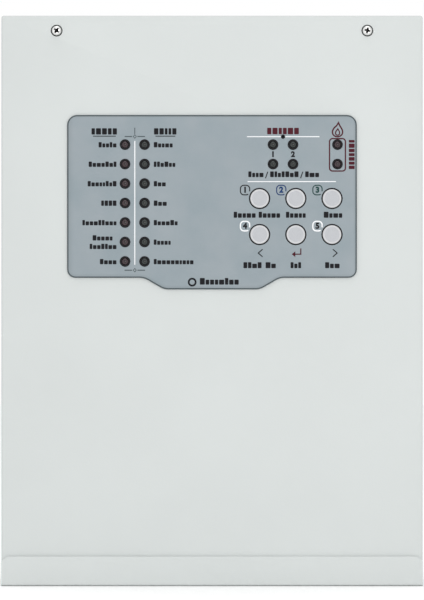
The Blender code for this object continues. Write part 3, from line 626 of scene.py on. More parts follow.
def smoothing():
    """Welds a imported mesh's split points and shades it smoothly except across sharp edges."""
    group = bpy.data.node_groups.new("smooth_round_faces", "GeometryNodeTree")
    group.interface.new_socket("Geometry", in_out='INPUT', socket_type='NodeSocketGeometry')
    group.interface.new_socket("Geometry", in_out='OUTPUT', socket_type='NodeSocketGeometry')
    start, end = group.nodes.new("NodeGroupInput"), group.nodes.new("NodeGroupOutput")
    weld = node("GeometryNodeMergeByDistance", {"Geometry": start.outputs[0], "Distance": 2e-6})
    faces = node("GeometryNodeSetShadeSmooth", {"Geometry": weld.outputs[0], "Shade Smooth": True})
    angle = node("GeometryNodeInputMeshEdgeAngle", {}, group).outputs[0]
    blunt = node("FunctionNodeCompare", {0: angle, 1: math.radians(40)}, operation='LESS_THAN')
    inputs = {"Geometry": faces.outputs[0], "Shade Smooth": blunt.outputs[0]}
    edges = node("GeometryNodeSetShadeSmooth", inputs, domain='EDGE')
    group.links.new(edges.outputs[0], end.inputs[0])
    return group


def dress_cad_nodes():
    """Give every CAD node the look of its material slot, and smooth shading on its round faces."""
    group = smoothing()
    for cad_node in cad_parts.values():
        mesh = cad_node.data
        slot_name = mesh.materials[0].name
        mesh.materials[0] = LOOKS[slot_name]
        if "custom_normal" in mesh.attributes:
            mesh.attributes.remove(mesh.attributes["custom_normal"])
        modifier = cad_node.modifiers.new("smooth", 'NODES')
        modifier.node_group = group


# ---------------------------------------------------------------- marks printed on the overlay

INK_DEEP = FACE + 0.05
INK_TOP = FACE - 0.035
TEXT_HEIGHT = 2.4
BADGE_CLEAR = 7.2                             # distance that a badge keeps from its key's centre


def stroke(bm, points, width, closed=False):
    """A printed line through (x, z) points."""
    path = [Vector(p) for p in points]
    sections = []
    for point, side in zip(path, sides_of(path, closed)):
        a, b = point + side * width / 2, point - side * width / 2
        sections.append([(a.x, INK_TOP, a.y), (b.x, INK_TOP, b.y),
                         (b.x, INK_DEEP, b.y), (a.x, INK_DEEP, a.y)])
    sweep(bm, sections, closed)


def spot(bm, outline):
    """A printed area."""
    sweep(bm, [[(p[0], y, p[1]) for p in outline] for y in (INK_TOP, INK_DEEP)])


def printed(name, bm, ink):
    """A print on the overlay, as a piece."""
    piece(f"print_{name}", bm, INKS[ink], "cover")


def word(bm, x_low, x_high, z, height=TEXT_HEIGHT, seed=0, upright=False, even=False):
    """A generic mark for a printed word: a row of small solid blocks, which spell nothing."""
    draw = random.Random(seed)
    gap = 0.17 * height
    count = round((x_high - x_low) / height / (0.80 if even else 0.98))
    widths = [draw.uniform(0.75, 1.15) for _ in range(count)]
    share = (x_high - x_low) / sum(widths)
    x = x_low
    for i, cell in enumerate(w * share for w in widths):
        tall = height * (1.0 if even else 1.34 if i == 0 or draw.random() < 0.25 else 1.0)
        outline = rounded_box(x + cell / 2, z + (tall - height) / 2, (cell - gap) / 2, tall / 2, 0.35, 2)
        if upright:
            outline = [Vector((2 * z - p.y, p.x)) for p in outline]
        spot(bm, outline)
        x += cell


def digit(text, x, z, height, look, name):
    """A numeral, as a piece."""
    curve = bpy.data.curves.new(name, 'FONT')
    curve.body = text
    curve.size = height / 0.72 * TO_METRES
    curve.align_x, curve.align_y = 'CENTER', 'CENTER'
    curve.offset = 0.26 * TO_METRES
    curve.extrude = (INK_DEEP - INK_TOP) / 2 * TO_METRES
    drawn = bpy.data.objects.new(name, curve)
    SCENE.collection.objects.link(drawn)
    mesh = bpy.data.meshes.new_from_object(drawn.evaluated_get(bpy.context.evaluated_depsgraph_get()))
    bpy.data.objects.remove(drawn)
    mesh.materials.clear()
    mesh.materials.append(look)
    bm = bmesh.new()
    bm.from_mesh(mesh)
    bmesh.ops.remove_doubles(bm, verts=bm.verts, dist=1e-5)
    bmesh.ops.dissolve_degenerate(bm, edges=bm.edges, dist=1e-5)
    bmesh.ops.recalc_face_normals(bm, faces=bm.faces)
    bm.to_mesh(mesh)
    bm.free()
    mesh.transform(Matrix.Rotation(math.pi / 2, 4, 'X'))
    return put(name, mesh, "cover", at=(x, (INK_DEEP + INK_TOP) / 2, z))


def overlay_outline(inset):
    """The film's outline, moved inwards: a rounded rectangle with a tab between two S-shaped shoulders."""
    w, top = OVERLAY_HIGH.x, OVERLAY_HIGH.z
    low, tab, shoulder_x = SHOULDER_Z, OVERLAY_LOW.z, SHOULDER_X
    top_r, low_r, sweep_r, slope = 6.0, 5.0, 10.0, 30
    arc_run = sweep_r * math.sin(math.radians(slope))
    arc_drop = sweep_r * (1 - math.cos(math.radians(slope)))
    ramp_run = (low - tab - 2 * arc_drop) / math.tan(math.radians(slope))
    foot_x = shoulder_x - 2 * arc_run - ramp_run
    half = arc((w - top_r, top - top_r), top_r - inset, 90, 0, 8)
    half += arc((w - low_r, low + low_r), low_r - inset, 0, -90, 8)
    half += arc((shoulder_x, low - sweep_r), sweep_r + inset, 90, 90 + slope, 6)
    half += arc((foot_x, tab + sweep_r), sweep_r - inset, slope - 90, -90, 6)
    return half + [Vector((-p.x, p.y)) for p in reversed(half)]


def print_status_columns():
    """Headings, labels and the divider of the two columns of seven indicators."""
    black, white, thin = blanks(3)
    divider_x = (STATUS_X + FAULT_X) / 2
    inner_left, inner_right = STATUS_X - 5.0, FAULT_X + 5.4
    heading_z = ROWS[0] + 8.0
    for low, high, seed in ((inner_left - 15.6, inner_left + 0.4, 1), (inner_right, inner_right + 14.2, 2)):
        word(black, low, high, heading_z, 3.8, seed, even=True)
        stroke(black, [(low + 1.2, heading_z - 2.9), (high - 1.0, heading_z - 2.9)], 0.5)
    lengths_left = (11.2, 17.2, 17.8, 9.6, 21.0, None, 10.4)
    lengths_right = (11.8, 13.4, 7.6, 8.2, 14.8, 10.6, 24.4)
    for i, (left, right) in enumerate(zip(lengths_left, lengths_right)):
        z = ROWS[i] - 0.5
        if left:
            word(black, inner_left - left, inner_left, z, seed=10 + i)
        else:
            word(black, inner_left - 14.8, inner_left - 2.4, z + 2.6, seed=20)
            word(black, inner_left - 16.6, inner_left, z - 2.6, seed=21)
        word(black, inner_right, inner_right + right, z, seed=30 + i)
    stroke(white, [(divider_x, ROWS[0] + 2.2), (divider_x, ROWS[-1] - 2.0)], 0.58)
    for z in (ROWS[0] + 4.9, ROWS[-1] - 5.3):
        small = [(divider_x + dx, z + dz) for dx, dz in ((0, 1.1), (0.9, 0), (0, -1.1), (-0.9, 0))]
        stroke(thin, small, 0.4, True)
        for side in (-1, 1):
            stroke(thin, [(divider_x + side * 1.6, z), (divider_x + side * 6.2, z)], 0.6)
    stroke(thin, [(divider_x, heading_z - 1.6), (divider_x, heading_z + 2.2)], 0.5)
    printed("status_words", black, "black")
    printed("status_divider", white, "white")
    printed("status_lines", thin, "edge")


def print_zone_block():
    """Heading, rules, numbers and the caption of the two fire zones."""
    red, black, white = blanks(3)
    xs = [middle(f"zone_{i}_fire_led").x for i in (1, 2)]
    centre = sum(xs) / 2
    heading_z = ROWS[0] + 8.2
    word(red, centre - 9.9, centre + 9.9, heading_z, 3.9, 40, even=True)
    rule_z = heading_z - 3.4
    stroke(white, [(centre - 21.8, rule_z), (centre + 22.0, rule_z)], 0.55)
    spot(black, rounded_box(centre, rule_z, 1.3, 1.3, 1.25))
    caption_z = ROWS[1] - 6.6
    for low, high, seed in ((-21.2, -11.6, 41), (-8.0, 9.6, 42), (13.2, 22.0, 43)):
        word(black, centre + low, centre + high, caption_z, 2.6, seed)
    for low in (-10.6, 10.6):
        stroke(black, [(centre + low, caption_z - 2.0), (centre + low + 1.4, caption_z + 2.0)], 0.6)
    rule_z = caption_z - 4.0
    stroke(white, [(centre - 21.4, rule_z), (centre + 32.0, rule_z)], 0.55)
    printed("zone_heading", red, "red")
    printed("zone_words", black, "black")
    printed("zone_rules", white, "white")
    for number, x in zip("12", xs):
        digit(number, x, (ROWS[0] + ROWS[1]) / 2 - 0.1, 3.2, INKS["black"], f"print_zone_number_{number}")


def print_fire_block():
    """Frame round the two general fire lamps, with a plain flame above and a word mark beside it."""
    red = bmesh.new()
    x = middle("fire_led_1").x
    z = (ROWS[0] + ROWS[1]) / 2
    stroke(red, rounded_box(x, z - 0.3, 4.8, 9.8, 1.8), 0.8, True)
    word(red, z - 9.2, z + 9.0, x + 8.6, 3.5, 50, upright=True, even=True)
    flame_z = z + 14.8
    outer = [(0.6, 4.4), (-0.5, 2.6), (-2.0, 1.2), (-3.0, -0.9), (-2.6, -2.9), (-1.0, -4.0), (1.0, -4.0),
             (2.7, -2.8), (3.1, -0.8), (2.3, 1.1), (1.5, 2.4)]
    inner = [(0.2, 0.6), (-1.1, -1.3), (-0.9, -2.8), (0.1, -3.2), (1.1, -2.7), (1.2, -1.2)]
    for outline, width in ((outer, 0.85), (inner, 0.7)):
        route = smooth_route([*outline, outline[0]], 4)[:-1]
        stroke(red, [(x + p[0], flame_z + p[1]) for p in (q.to_tuple() for q in route)], width, True)
    printed("fire_marks", red, "red")


def badge(bm, key, width):
    """A rounded frame at a key's upper left, left open where it would meet the key."""
    centre = middle(key).xz
    x, z = centre.x - 8.8, centre.y + 5.1
    loop = rounded_box(x, z, 2.8, 2.9, 2.1)
    clear = [(p - centre).length > BADGE_CLEAR for p in loop]
    start = clear.index(False) if False in clear else 0
    order = loop[start:] + loop[:start]
    stroke(bm, [p for p in order if (p - centre).length > BADGE_CLEAR], width)
    return x, z


def print_key_marks():
    """Number badges, arrows and captions of the six keys."""
    ink_of = {"button_1": "black", "button_2": "blue", "button_3": "green", "button_4": "white",
              "button_6": "white"}
    frames = {ink: bmesh.new() for ink in sorted(set(ink_of.values()))}
    for number, (key, ink) in zip("12345", ink_of.items()):
        x, z = badge(frames[ink], key, 0.65 if ink != "white" else 0.75)
        number_ink = "black" if ink == "white" else ink
        digit(number, x, z, 3.4, INKS[number_ink], f"print_key_number_{number}")
    for ink, bm in frames.items():
        printed(f"badges_{ink}", bm, ink)
    black, thin, red = blanks(3)
    captions = {"button_1": ((-15.9, -2.2), (-0.8, 12.6)), "button_2": ((-6.2, 6.2),),
                "button_3": ((-5.2, 6.4),), "button_4": ((-10.0, 1.4), (3.4, 10.0)),
                "button_5": ((-3.4, 3.4),), "button_6": ((-4.4, 4.8),)}
    for seed, (key, spans) in enumerate(captions.items(), start=60):
        at = middle(key)
        drop = 10.3 if key in BUTTONS[:3] else 19.0
        for low, high in spans:
            word(black, at.x + low, at.x + high, at.z - drop, 2.7, seed)
    for key, side in (("button_4", -1), ("button_6", 1)):
        at = middle(key)
        middle_x = at.x + (0.5 if side < 0 else 1.8)
        tip, back, z = middle_x + side * 1.3, middle_x - side * 1.3, at.z - 11.2
        stroke(thin, [(back, z + 2.3), (tip, z), (back, z - 2.3)], 0.62)
    at = middle("button_5")
    x, z = at.x + 0.4, at.z - 11.0
    stroke(red, [(x + 2.6, z + 2.6), (x + 2.6, z - 0.9), (x - 1.0, z - 0.9)], 0.7)
    spot(red, [(x - 2.9, z - 0.9), (x - 0.7, z - 2.6), (x - 0.7, z + 0.8)])
    printed("key_words", black, "black")
    printed("key_arrows", thin, "black")
    printed("key_return", red, "red")


def print_overlay_border():
    """Dark line along the film's edge and, low in the middle, a plain ring beside a row of blocks."""
    bm = bmesh.new()
    stroke(bm, overlay_outline(0.42), 0.75, True)
    printed("overlay_border", bm, "edge")
    plain = bmesh.new()
    z = OVERLAY_LOW.z + 4.4
    stroke(plain, rounded_box(-12.0, z, 2.1, 2.1, 2.05), 1.1, True)
    word(plain, -7.6, 16.4, z, 3.0, 70)
    printed("plain_badge", plain, "black")


# ---------------------------------------------------------------- indicators, keys and screws

def turned(name, shared, profile, steps, look, body, replaced, at):
    """One more piece of a turned shape; those of one look share a mesh."""
    if look in shared:
        put(name, shared[look], body, replaced, at)
        return
    bm = bmesh.new()
    lathe(bm, profile, facing(), steps)
    shared[look] = piece(name, bm, look, body, replaced, at).data


def make_leds():
    """Domed lamps in black rings of painted shade, standing in for the shadowed gap round each lamp; each
    lamp's origin is on its own axis.
    """
    height, radius, rim_r, rim_h = 8.7, 2.5, 2.9, 1.0
    dome = [(radius * math.cos(a), height - radius + radius * math.sin(a))
            for a in (math.radians(d) for d in range(90, -1, -10))]
    lamp = [(0.0, height), *dome[1:], (radius, rim_h), (rim_r, rim_h), (rim_r, 0.0), (0.0, 0.0)]
    # The black ring is painted shade: it fills the gap round each lamp, where the hole is in shadow.
    ring = [(2.60, -2.3), (2.60, -0.9), (2.36, -0.3), (2.10, 0.10), (2.08, 0.22), (2.25, 0.33),
            (2.85, 0.33), (3.10, 0.22), (3.24, 0.02), (3.26, -2.3)]
    rings, shared = bmesh.new(), {}
    for name in LEDS:
        at = middle(name)
        look = "led_warm" if name.startswith(WARM_LEDS) else "led_neutral"
        turned(f"{name}_lamp", shared, lamp, 36, look, "cover", name, (at.x, cad(name)[1].y, at.z))
        lathe(rings, ring, facing((at.x, FACE, at.z)), 32, closed=True)
    piece("led_gap_shade_rings", rings, GAP_SHADE, "cover", slot="black_plastic")


def make_keys():
    """Round caps with a dished face, a raised rim, a retaining flange and a plunger."""
    flange_front, flange_back, plunger_end = -2.6, -3.6, -5.0
    cap = [(0.0, 0.08), (2.5, 0.09), (4.1, 0.13), (4.6, 0.22), (4.85, 0.32), (5.1, 0.36), (5.4, 0.30),
           (5.56, 0.16), (5.62, -0.1), (5.62, flange_front), (7.4, flange_front), (7.4, flange_back),
           (1.75, flange_back), (1.75, plunger_end), (0.0, plunger_end)]
    shared = {}
    for name in BUTTONS:
        at = middle(name)
        turned(f"{name}_key", shared, cap, 48, "button_cap", f"{name}_cap", name, (at.x, FACE, at.z))


def make_key_gap_shade():
    """Black rings in the gaps round the keys, a little below the film, as painted shade in each gap."""
    shade_ring = [(5.74, -1.0), (5.74, -0.45), (6.46, -0.22), (6.46, -1.0)]
    bm = bmesh.new()
    for name in BUTTONS:
        at = middle(name)
        lathe(bm, shade_ring, facing((at.x, FACE, at.z)), 40, closed=True)
    piece("key_gap_shade_rings", bm, GAP_SHADE, "cover", slot="black_plastic")


def screw_blank(tip):
    """A domed head on a threaded shank that ends at a depth."""
    r, h = SCREW_HEAD_R, SCREW_HEAD_H
    root_r, crest_r, neck, pitch = 1.6, 2.0, 0.22, 0.8
    turns = round(2 * (tip - 1) / pitch)
    dome = ((0, 1), (0.5, 0.97), (0.75, 0.85), (0.92, 0.6), (1, 0.3))
    profile = [(a * r, b * h) for a, b in dome] + [(r, neck), (crest_r, neck), (crest_r, 0)]
    profile += [(crest_r if i % 2 else root_r, -pitch / 2 * i) for i in range(1, turns)]
    profile += [(root_r / 2, -tip), (0, -tip)]
    bm = bmesh.new()
    lathe(bm, profile, facing(), 32)
    return bm


def make_cover_screws():
    """Domed screws with a tapered cross recess and a threaded shank, over thin black rings of painted shade
    round each head.
    """
    h, recess, half_blade = SCREW_HEAD_H, SCREW_RECESS_R, 0.55
    blade_outline = [(-recess, 1), (-recess, -0.6), (-0.6, -1.3), (0.6, -1.3), (recess, -0.6), (recess, 1)]
    across_head = Matrix(((1, 0, 0, 0), (0, -1, 0, -h), (0, 0, 1, -half_blade), (0, 0, 0, 1)))
    for side, turn in (("left", 38), ("right", 12)):
        name = f"cover_screw_{side}"
        at = middle(name)
        cone = bmesh.new()
        lathe(cone, [(0, h + 1), (1.2, h + 1), (1.2, h - 0.5), (0.5, h - 1.6), (0, h - 1.6)], facing(), 20)
        bm = carved(screw_blank(cad(name)[1].y - COVER_FRONT), cone)
        for step in (0, 90):
            blade = bmesh.new()
            prism(blade, blade_outline, 2 * half_blade, across_head)
            blade.transform(Matrix.Rotation(math.radians(turn + step), 4, 'Y'))
            bm = carved(bm, blade)
        piece(f"{name}_turned", bm, SCREW, f"{name}_body", name, (at.x, COVER_FRONT, at.z), slot="zinc")
        # The black ring under each head is painted shade, standing in for the shadow round the head's edge.
        flat_ring = bmesh.new()
        lathe(flat_ring, [(2.3, 0.02), (3.45, 0.02), (3.55, 0.10), (3.45, 0.19), (2.3, 0.19)],
              facing((at.x, COVER_FRONT, at.z)), 32, closed=True)
        piece(f"cover_screw_shade_ring_{side}", flat_ring, GAP_SHADE, "cover", slot="black_plastic")


# ---------------------------------------------------------------- main board

def finish_terminals(kind, housing, wells, screws, slots, look, replaced):
    """A terminal housing with its wells cut out, and its slotted screws."""
    piece(f"{kind}_terminals", carved(housing, wells), look, replaced=replaced)
    piece(f"{kind}_terminal_screws", carved(screws, slots), "zinc")


def make_field_terminals():
    """The field wiring's screw terminals, in one stepped green housing."""
    low, high = FIELD_LOW, FIELD_HIGH
    section = [(high.y, low.z), (low.y + 4, low.z), (low.y, low.z + 4), (low.y, high.z), (high.y, high.z)]
    along = Matrix(((0, 0, 1, low.x), (1, 0, 0, 0), (0, 1, 0, 0), (0, 0, 0, 1)))
    housing, wells, screws, slots = blanks(4)
    prism(housing, section, high.x - low.x, along)
    for x in FIELD_XS:
        place, split_x = facing((x, low.y, low.z + 8)), x + FIELD_PITCH / 2
        slab(wells, (x - 1.7, low.y + 4.5, high.z - 3.0), (x + 1.7, low.y + 9.0, high.z + 2))
        lathe(wells, [(0, 2), (1.9, 2), (1.9, -2.2), (0, -2.2)], place, 16)
        slab(wells, (split_x - 0.2, low.y - 1, low.z + 5.5), (split_x + 0.2, low.y + 0.5, high.z + 1))
        lathe(screws, [(0, -1.0), (1.35, -1.0), (1.6, -1.25), (1.6, -2.1), (0, -2.1)], place, 16)
        block(slots, x, low.z + 8, 2, 0.25, low.y + 0.6, low.y + 1.5)
    finish_terminals("field", housing, wells, screws, slots, "terminal_green", "field_terminal_strip")


def make_relays():
    """Blue cases on a wider foot, with a sealed vent in one corner."""
    for name in ("fire_relay", "fault_relay"):
        low, high = cad(name)
        bm = bmesh.new()
        slab(bm, (low.x + 0.25, low.y, low.z + 0.25), (high.x - 0.25, high.y - 1.6, high.z - 0.25), 0.7, 3)
        slab(bm, (low.x, high.y - 2.2, low.z), (high.x, high.y, high.z), 0.3)
        lathe(bm, [(0, 0.25), (0.7, 0.25), (0.9, 0.05), (0.9, -0.5), (0, -0.5)],
              facing((low.x + 3, low.y, high.z - 3)), 16)
        piece(f"{name}_case", bm, "relay_case", replaced=name)


def make_capacitor():
    """Snap-in can: shrink sleeve with a crimped groove, and a bare top with a scored star."""
    low, high = cad("capacitor")
    at = middle("capacitor")
    length, r = high.y - low.y, (high.x - low.x) / 2
    foot = facing((at.x, high.y, at.z))
    sleeve, top, scores = blanks(3)
    lathe(sleeve, [(0, 0), (r, 0), (r, 3.0), (r - 0.6, 3.8), (r - 0.6, 4.4), (r, 5.2), (r, length - 1.2),
                   (r - 0.3, length - 0.4), (r - 1.2, length), (r - 1.9, length), (r - 1.9, length - 0.8),
                   (0, length - 0.8)], foot, 40)
    top_r, top_low, top_high = r - 2.1, length - 1.0, length - 0.35
    lathe(top, [(0, top_low), (top_r, top_low), (top_r, top_high), (0, top_high)], foot, 40)
    bar = [(4.2, 0.25), (-4.2, 0.25), (-4.2, -0.25), (4.2, -0.25)]
    for turn in (0, 60, 120):
        star = Matrix.Rotation(math.radians(turn), 4, 'Z')
        prism(scores, bar, 2, foot @ star @ Matrix.Translation((0, 0, length - 0.6)))
    piece("capacitor_can", sleeve, "capacitor_sleeve", replaced="capacitor")
    piece("capacitor_vent", carved(top, scores), "aluminium")


def chip(bodies, legs, x, z, half_w, half_h, face, out, pins, all_round=False):
    """A chip on a board face, with its rows of legs along the long sides or all round."""
    block(bodies, x, z, half_w, half_h, face + out * 0.2, face + out * 1.8, 0.25, 1)
    planes = face + out * SEAT, face + out * 0.28
    for i in range(pins):
        step = (i - (pins - 1) / 2) * 2 * (half_h - 0.6) / max(1, pins - 1)
        for side in (-1, 1):
            block(legs, x + side * (half_w + 0.6), z + step, 0.75, 0.2, *planes)
            if all_round:
                block(legs, x + step, z + side * (half_h + 0.6), 0.2, 0.75, *planes)


def make_main_board_chips():
    """A square controller with legs all round, and five smaller chips."""
    bodies, legs = blanks(2)
    chip(bodies, legs, -22, 22, 7, 7, BOARD_FACE, -1, 16, all_round=True)
    for x, z, half_h, pins in ((-62, 24, 5, 8), (-62, 6, 5, 8), (-40, -8, 5, 8),
                               (14, 22, 4, 7), (14, 4, 4, 7)):
        chip(bodies, legs, x, z, 2, half_h, BOARD_FACE, -1, pins)
    piece("main_board_chips", bodies, "black_plastic")
    piece("main_board_chip_legs", legs, SOLDER)


def make_surge_parts():
    """A row of small wired parts, one below each field terminal."""
    bodies, ends, leads = blanks(3)
    body = [(0, 3.2), (1.1, 3.2), (1.4, 2.6), (1.4, 1.8), (1.2, 1.2)]
    body += [(r, -h) for r, h in reversed(body)]
    y, z = BOARD_FACE - 1.9, FIELD_LOW.z - 8
    for x in FIELD_XS:
        place = facing((x, y, z), (0, 0, 1))
        lathe(bodies, body, place, 12)
        lathe(ends, [(0, 2.3), (1.46, 2.3), (1.46, 1.8), (0, 1.8)], place, 12)
        tube(leads, [(x, BOARD_FACE + 0.3, z + 5.0), (x, y + 0.3, z + 5.0), (x, y, z + 4.6), (x, y, z - 4.6),
                     (x, y + 0.3, z - 5.0), (x, BOARD_FACE + 0.3, z - 5.0)], 0.3, 6)
    piece("surge_part_bodies", bodies, TAN)
    piece("surge_part_bands", ends, "black_plastic")
    piece("surge_part_leads", leads, SOLDER)


def make_chip_parts():
    """Chip resistors and capacitors in short rows."""
    bodies, ends = blanks(2)
    for x_start, z, count in ((-6, 34, 10), (-48, 40, 9), (-6, 4, 9),
                              (-56, -22, 12), (20, -14, 8), (-100, 36, 5)):
        for i in range(count):
            x = x_start + 2.9 * i
            block(bodies, x, z, 0.6, 0.75, BOARD_FACE - 0.6, BOARD_FACE - SEAT)
            for side in (-1, 1):
                block(ends, x, z + side * 0.95, 0.65, 0.25, BOARD_FACE - 0.65, BOARD_FACE - SEAT)
    piece("chip_part_bodies", bodies, "black_plastic")
    piece("chip_part_ends", ends, SOLDER)


def make_electrolytics():
    """Small sleeved cans with a groove at the foot and a bare top."""
    cans, tops = blanks(2)
    for x, z, r, h in ((-96, 18, 4, 11), (-84, 18, 4, 11), (-96, 4, 5, 12.5),
                       (34, 24, 4, 11), (34, 10, 3.2, 9), (44, 62, 5, 12)):
        foot = facing((x, BOARD_FACE - 0.1, z))
        lathe(cans, [(0, 0), (r, 0), (r, 1.6), (r - 0.4, 2.1), (r, 2.6), (r, h - 0.5), (r - 0.5, h),
                     (r - 0.9, h), (r - 0.9, h - 0.4), (0, h - 0.4)], foot, 24)
        lathe(tops, [(0, h - 0.5), (r - 1.0, h - 0.5), (r - 1.0, h - 0.15), (0, h - 0.15)], foot, 24)
    piece("small_electrolytics", cans, "capacitor_sleeve")
    piece("small_electrolytic_tops", tops, "aluminium")


def make_crystal_and_header():
    """A canned crystal beside the controller, and a header of two rows of eight pins."""
    crystal, header, pins = blanks(3)
    block(crystal, -21.5, 9, 5.5, 2.2, BOARD_FACE - 3.4, BOARD_FACE - 0.1, 1.5, 4)
    for i in range(8):
        for j in range(2):
            x, z = 16 + PIN_PITCH * i, -32 + PIN_PITCH * j
            block(header, x, z, 1.22, 1.22, BOARD_FACE - 2.6, BOARD_FACE - SEAT, 0.25, 1)
            block(pins, x, z, 0.32, 0.32, BOARD_FACE - 8.5, BOARD_FACE - 2.4)
    piece("crystal", crystal, SOLDER)
    piece("jumper_header", header, "black_plastic")
    piece("jumper_pins", pins, BRASS)


def make_regulator():
    """Power transistor bolted to the heat sink's right-hand side."""
    low, high = cad("heat_sink")
    body, metal = blanks(2)
    x, z = high.x + 0.1, (low.z + high.z) / 2
    slab(metal, (x, BOARD_FACE - 19.5, z - 5), (x + 1.3, BOARD_FACE - 4.2, z + 5), 0.1, 1)
    slab(body, (x + 0.9, BOARD_FACE - 13.2, z - 5.1), (x + 4.5, BOARD_FACE - 4.0, z + 5.1), 0.3)
    for step in (-PIN_PITCH, 0, PIN_PITCH):
        slab(metal, (x + 2.3, BOARD_FACE - 4.4, z + step - 0.4), (x + 2.8, BOARD_FACE, z + step + 0.4))
    lathe(metal, [(0, 2.2), (1.6, 2.1), (2.6, 1.4), (2.8, 0.9), (2.8, 0), (0, 0)],
          facing((x + 1.2, BOARD_FACE - 16.4, z), (1, 0, 0)), 20)
    piece("regulator_body", body, "black_plastic")
    piece("regulator_metal", metal, SOLDER)


def make_board_nuts():
    """Hexagon nuts on washers, on the studs of both boards."""
    inset = 6
    flat_ring = [(1.55, 0.05), (3.4, 0.05), (3.4, 0.45), (1.55, 0.45)]
    nut = [(1.5, 0.45), (3.0, 0.45), (3.17, 0.6), (3.17, 1.9), (3.0, 2.1), (1.5, 2.1)]
    for name, low, high, face, out, body in (
            ("main_board_nuts", BOARD_LOW, BOARD_HIGH, BOARD_FACE, -1, "enclosure"),
            ("display_board_nuts", DISPLAY_LOW, DISPLAY_HIGH, DISPLAY_REAR, 1, "cover")):
        bm = bmesh.new()
        for x in (low.x + inset, high.x - inset):
            for z in (low.z + inset, high.z - inset):
                foot = facing((x, face, z), (0, out, 0))
                lathe(bm, flat_ring, foot, 24, closed=True)
                lathe(bm, nut, foot, 6, closed=True)
        piece(name, bm, "zinc", body, sharp=20)


# ---------------------------------------------------------------- mains side

def make_mains_terminals():
    """Four poles, each with a screw above and below, wire entries and a groove between poles."""
    low, high = cad("mains_terminal_block")
    poles = 4
    pitch = (high.x - low.x) / poles
    housing, wells, screws, slots = blanks(4)
    slab(housing, low, high, 0.8)
    for i in range(poles):
        x = low.x + (i + 0.5) * pitch
        for z in (low.z + 5.5, high.z - 5.5):
            at = facing((x, low.y, z))
            lathe(wells, [(0, 2), (2.9, 2), (2.9, -4), (0, -4)], at, 20)
            lathe(screws, [(0, -2.2), (2.1, -2.2), (2.5, -2.6), (2.5, -3.9), (0, -3.9)], at, 20)
            block(slots, x, z, 3, 0.4, low.y + 1, low.y + 3.1)
        for z in (low.z, high.z):
            block(wells, x, z, 2.6, 3, low.y + 9, low.y + 14.5)
        if i:
            edge = low.x + i * pitch
            slab(wells, (edge - 0.6, low.y - 1, low.z - 1), (edge + 0.6, low.y + 3, high.z + 1))
    finish_terminals("mains", housing, wells, screws, slots, "grey_plastic", "mains_terminal_block")


def make_fuse():
    """Fuse base with two sprung clips and a glass cartridge fuse."""
    low, high = cad("fuse_holder")
    x, z = (low.x + high.x) / 2, (low.z + high.z) / 2
    base_front, fuse_y, fuse_r = high.y - 8, high.y - 12, 2.6
    base, clips, glass, ends = blanks(4)
    slab(base, (low.x, base_front, low.z), (high.x, high.y, high.z), 0.8)
    block(base, x, z, 8, 3, base_front - 1.4, base_front + 1, 0.5)
    across = facing((x, fuse_y, z), (1, 0, 0))
    lathe(glass, [(0, 10.5), (fuse_r, 10.5), (fuse_r, -10.5), (0, -10.5)], across, 24)
    half = [(-4.3, -17), (-3.0, -15.4), (-3.4, -12), (-2.4, -9), (-1.6, -8.3)]
    clip = [(a, high.y + b, 0) for a, b in half + [(-a, b) for a, b in reversed(half)]]
    clip_path = [p.to_tuple() for p in smooth_route(clip, 3)]
    for side in (-1, 1):
        lathe(ends, [(0, side * 13), (fuse_r - 0.3, side * 13), (fuse_r + 0.2, side * 12.5),
                     (fuse_r + 0.2, side * 7.6), (0, side * 7.6)], across, 24)
        strip = bmesh.new()
        band(strip, clip_path, 0.5, -2.4, 2.4)
        strip.transform(Matrix.Translation((x + side * 10.4, 0, z)) @ Matrix.Rotation(math.pi / 2, 4, 'Y'))
        merge(clips, strip)
    piece("fuse_base", base, "black_plastic", replaced="fuse_holder")
    piece("fuse_clips", clips, BRASS)
    piece("fuse_glass_tube", glass, GLASS)
    piece("fuse_ends", ends, SOLDER)


def merge(target, extra):
    """Add one shape to another."""
    mesh = bpy.data.meshes.new("extra")
    extra.to_mesh(mesh)
    extra.free()
    target.from_mesh(mesh)
    bpy.data.meshes.remove(mesh)


def make_transformer():
    """Stacked core, pressed frame with feet, a flanged bobbin, its taped winding and the frame's screws."""
    wind_low, wind_high = cad("transformer_winding")
    core_low, core_high = cad("transformer_core")
    x, z = (wind_low.x + wind_high.x) / 2, (wind_low.z + wind_high.z) / 2
    half_w, half_h, window_x = 28, 23.5, 14
    core_front, core_back = core_low.y + 1.0, -9
    core, windows = blanks(2)
    block(core, x, z, half_w, half_h, core_front, core_back, 0.25, 1)
    for side in (-1, 1):
        block(windows, x + side * window_x, z, 4.6, 14, core_front - 3, core_back + 3)
    piece("transformer_stack", carved(core, windows), "lamination", replaced="transformer_core")
    sheet, top = 1.2, core_high.z - 1
    foot_y, front_y, reach = core_high.y - sheet / 2, core_front - sheet / 2, half_w + sheet / 2
    path = [(x - reach - 12, foot_y, 0), (x - reach, foot_y, 0), (x - reach, front_y, 0),
            (x + reach, front_y, 0), (x + reach, foot_y, 0), (x + reach + 7, foot_y, 0)]
    frame_strip, screws = blanks(2)
    band(frame_strip, rounded_path(path, [sheet] * 4, 4), sheet, top - 8, top)
    piece("transformer_frame", frame_strip, "zinc")
    make_winding(x, z, wind_low.y, wind_high.y)
    for at_x in (x - reach - 7.5, x + reach + 4):
        pan_head(screws, facing((at_x, foot_y - sheet / 2, top - 4)), 2.6)
    piece("transformer_screws", screws, "zinc")


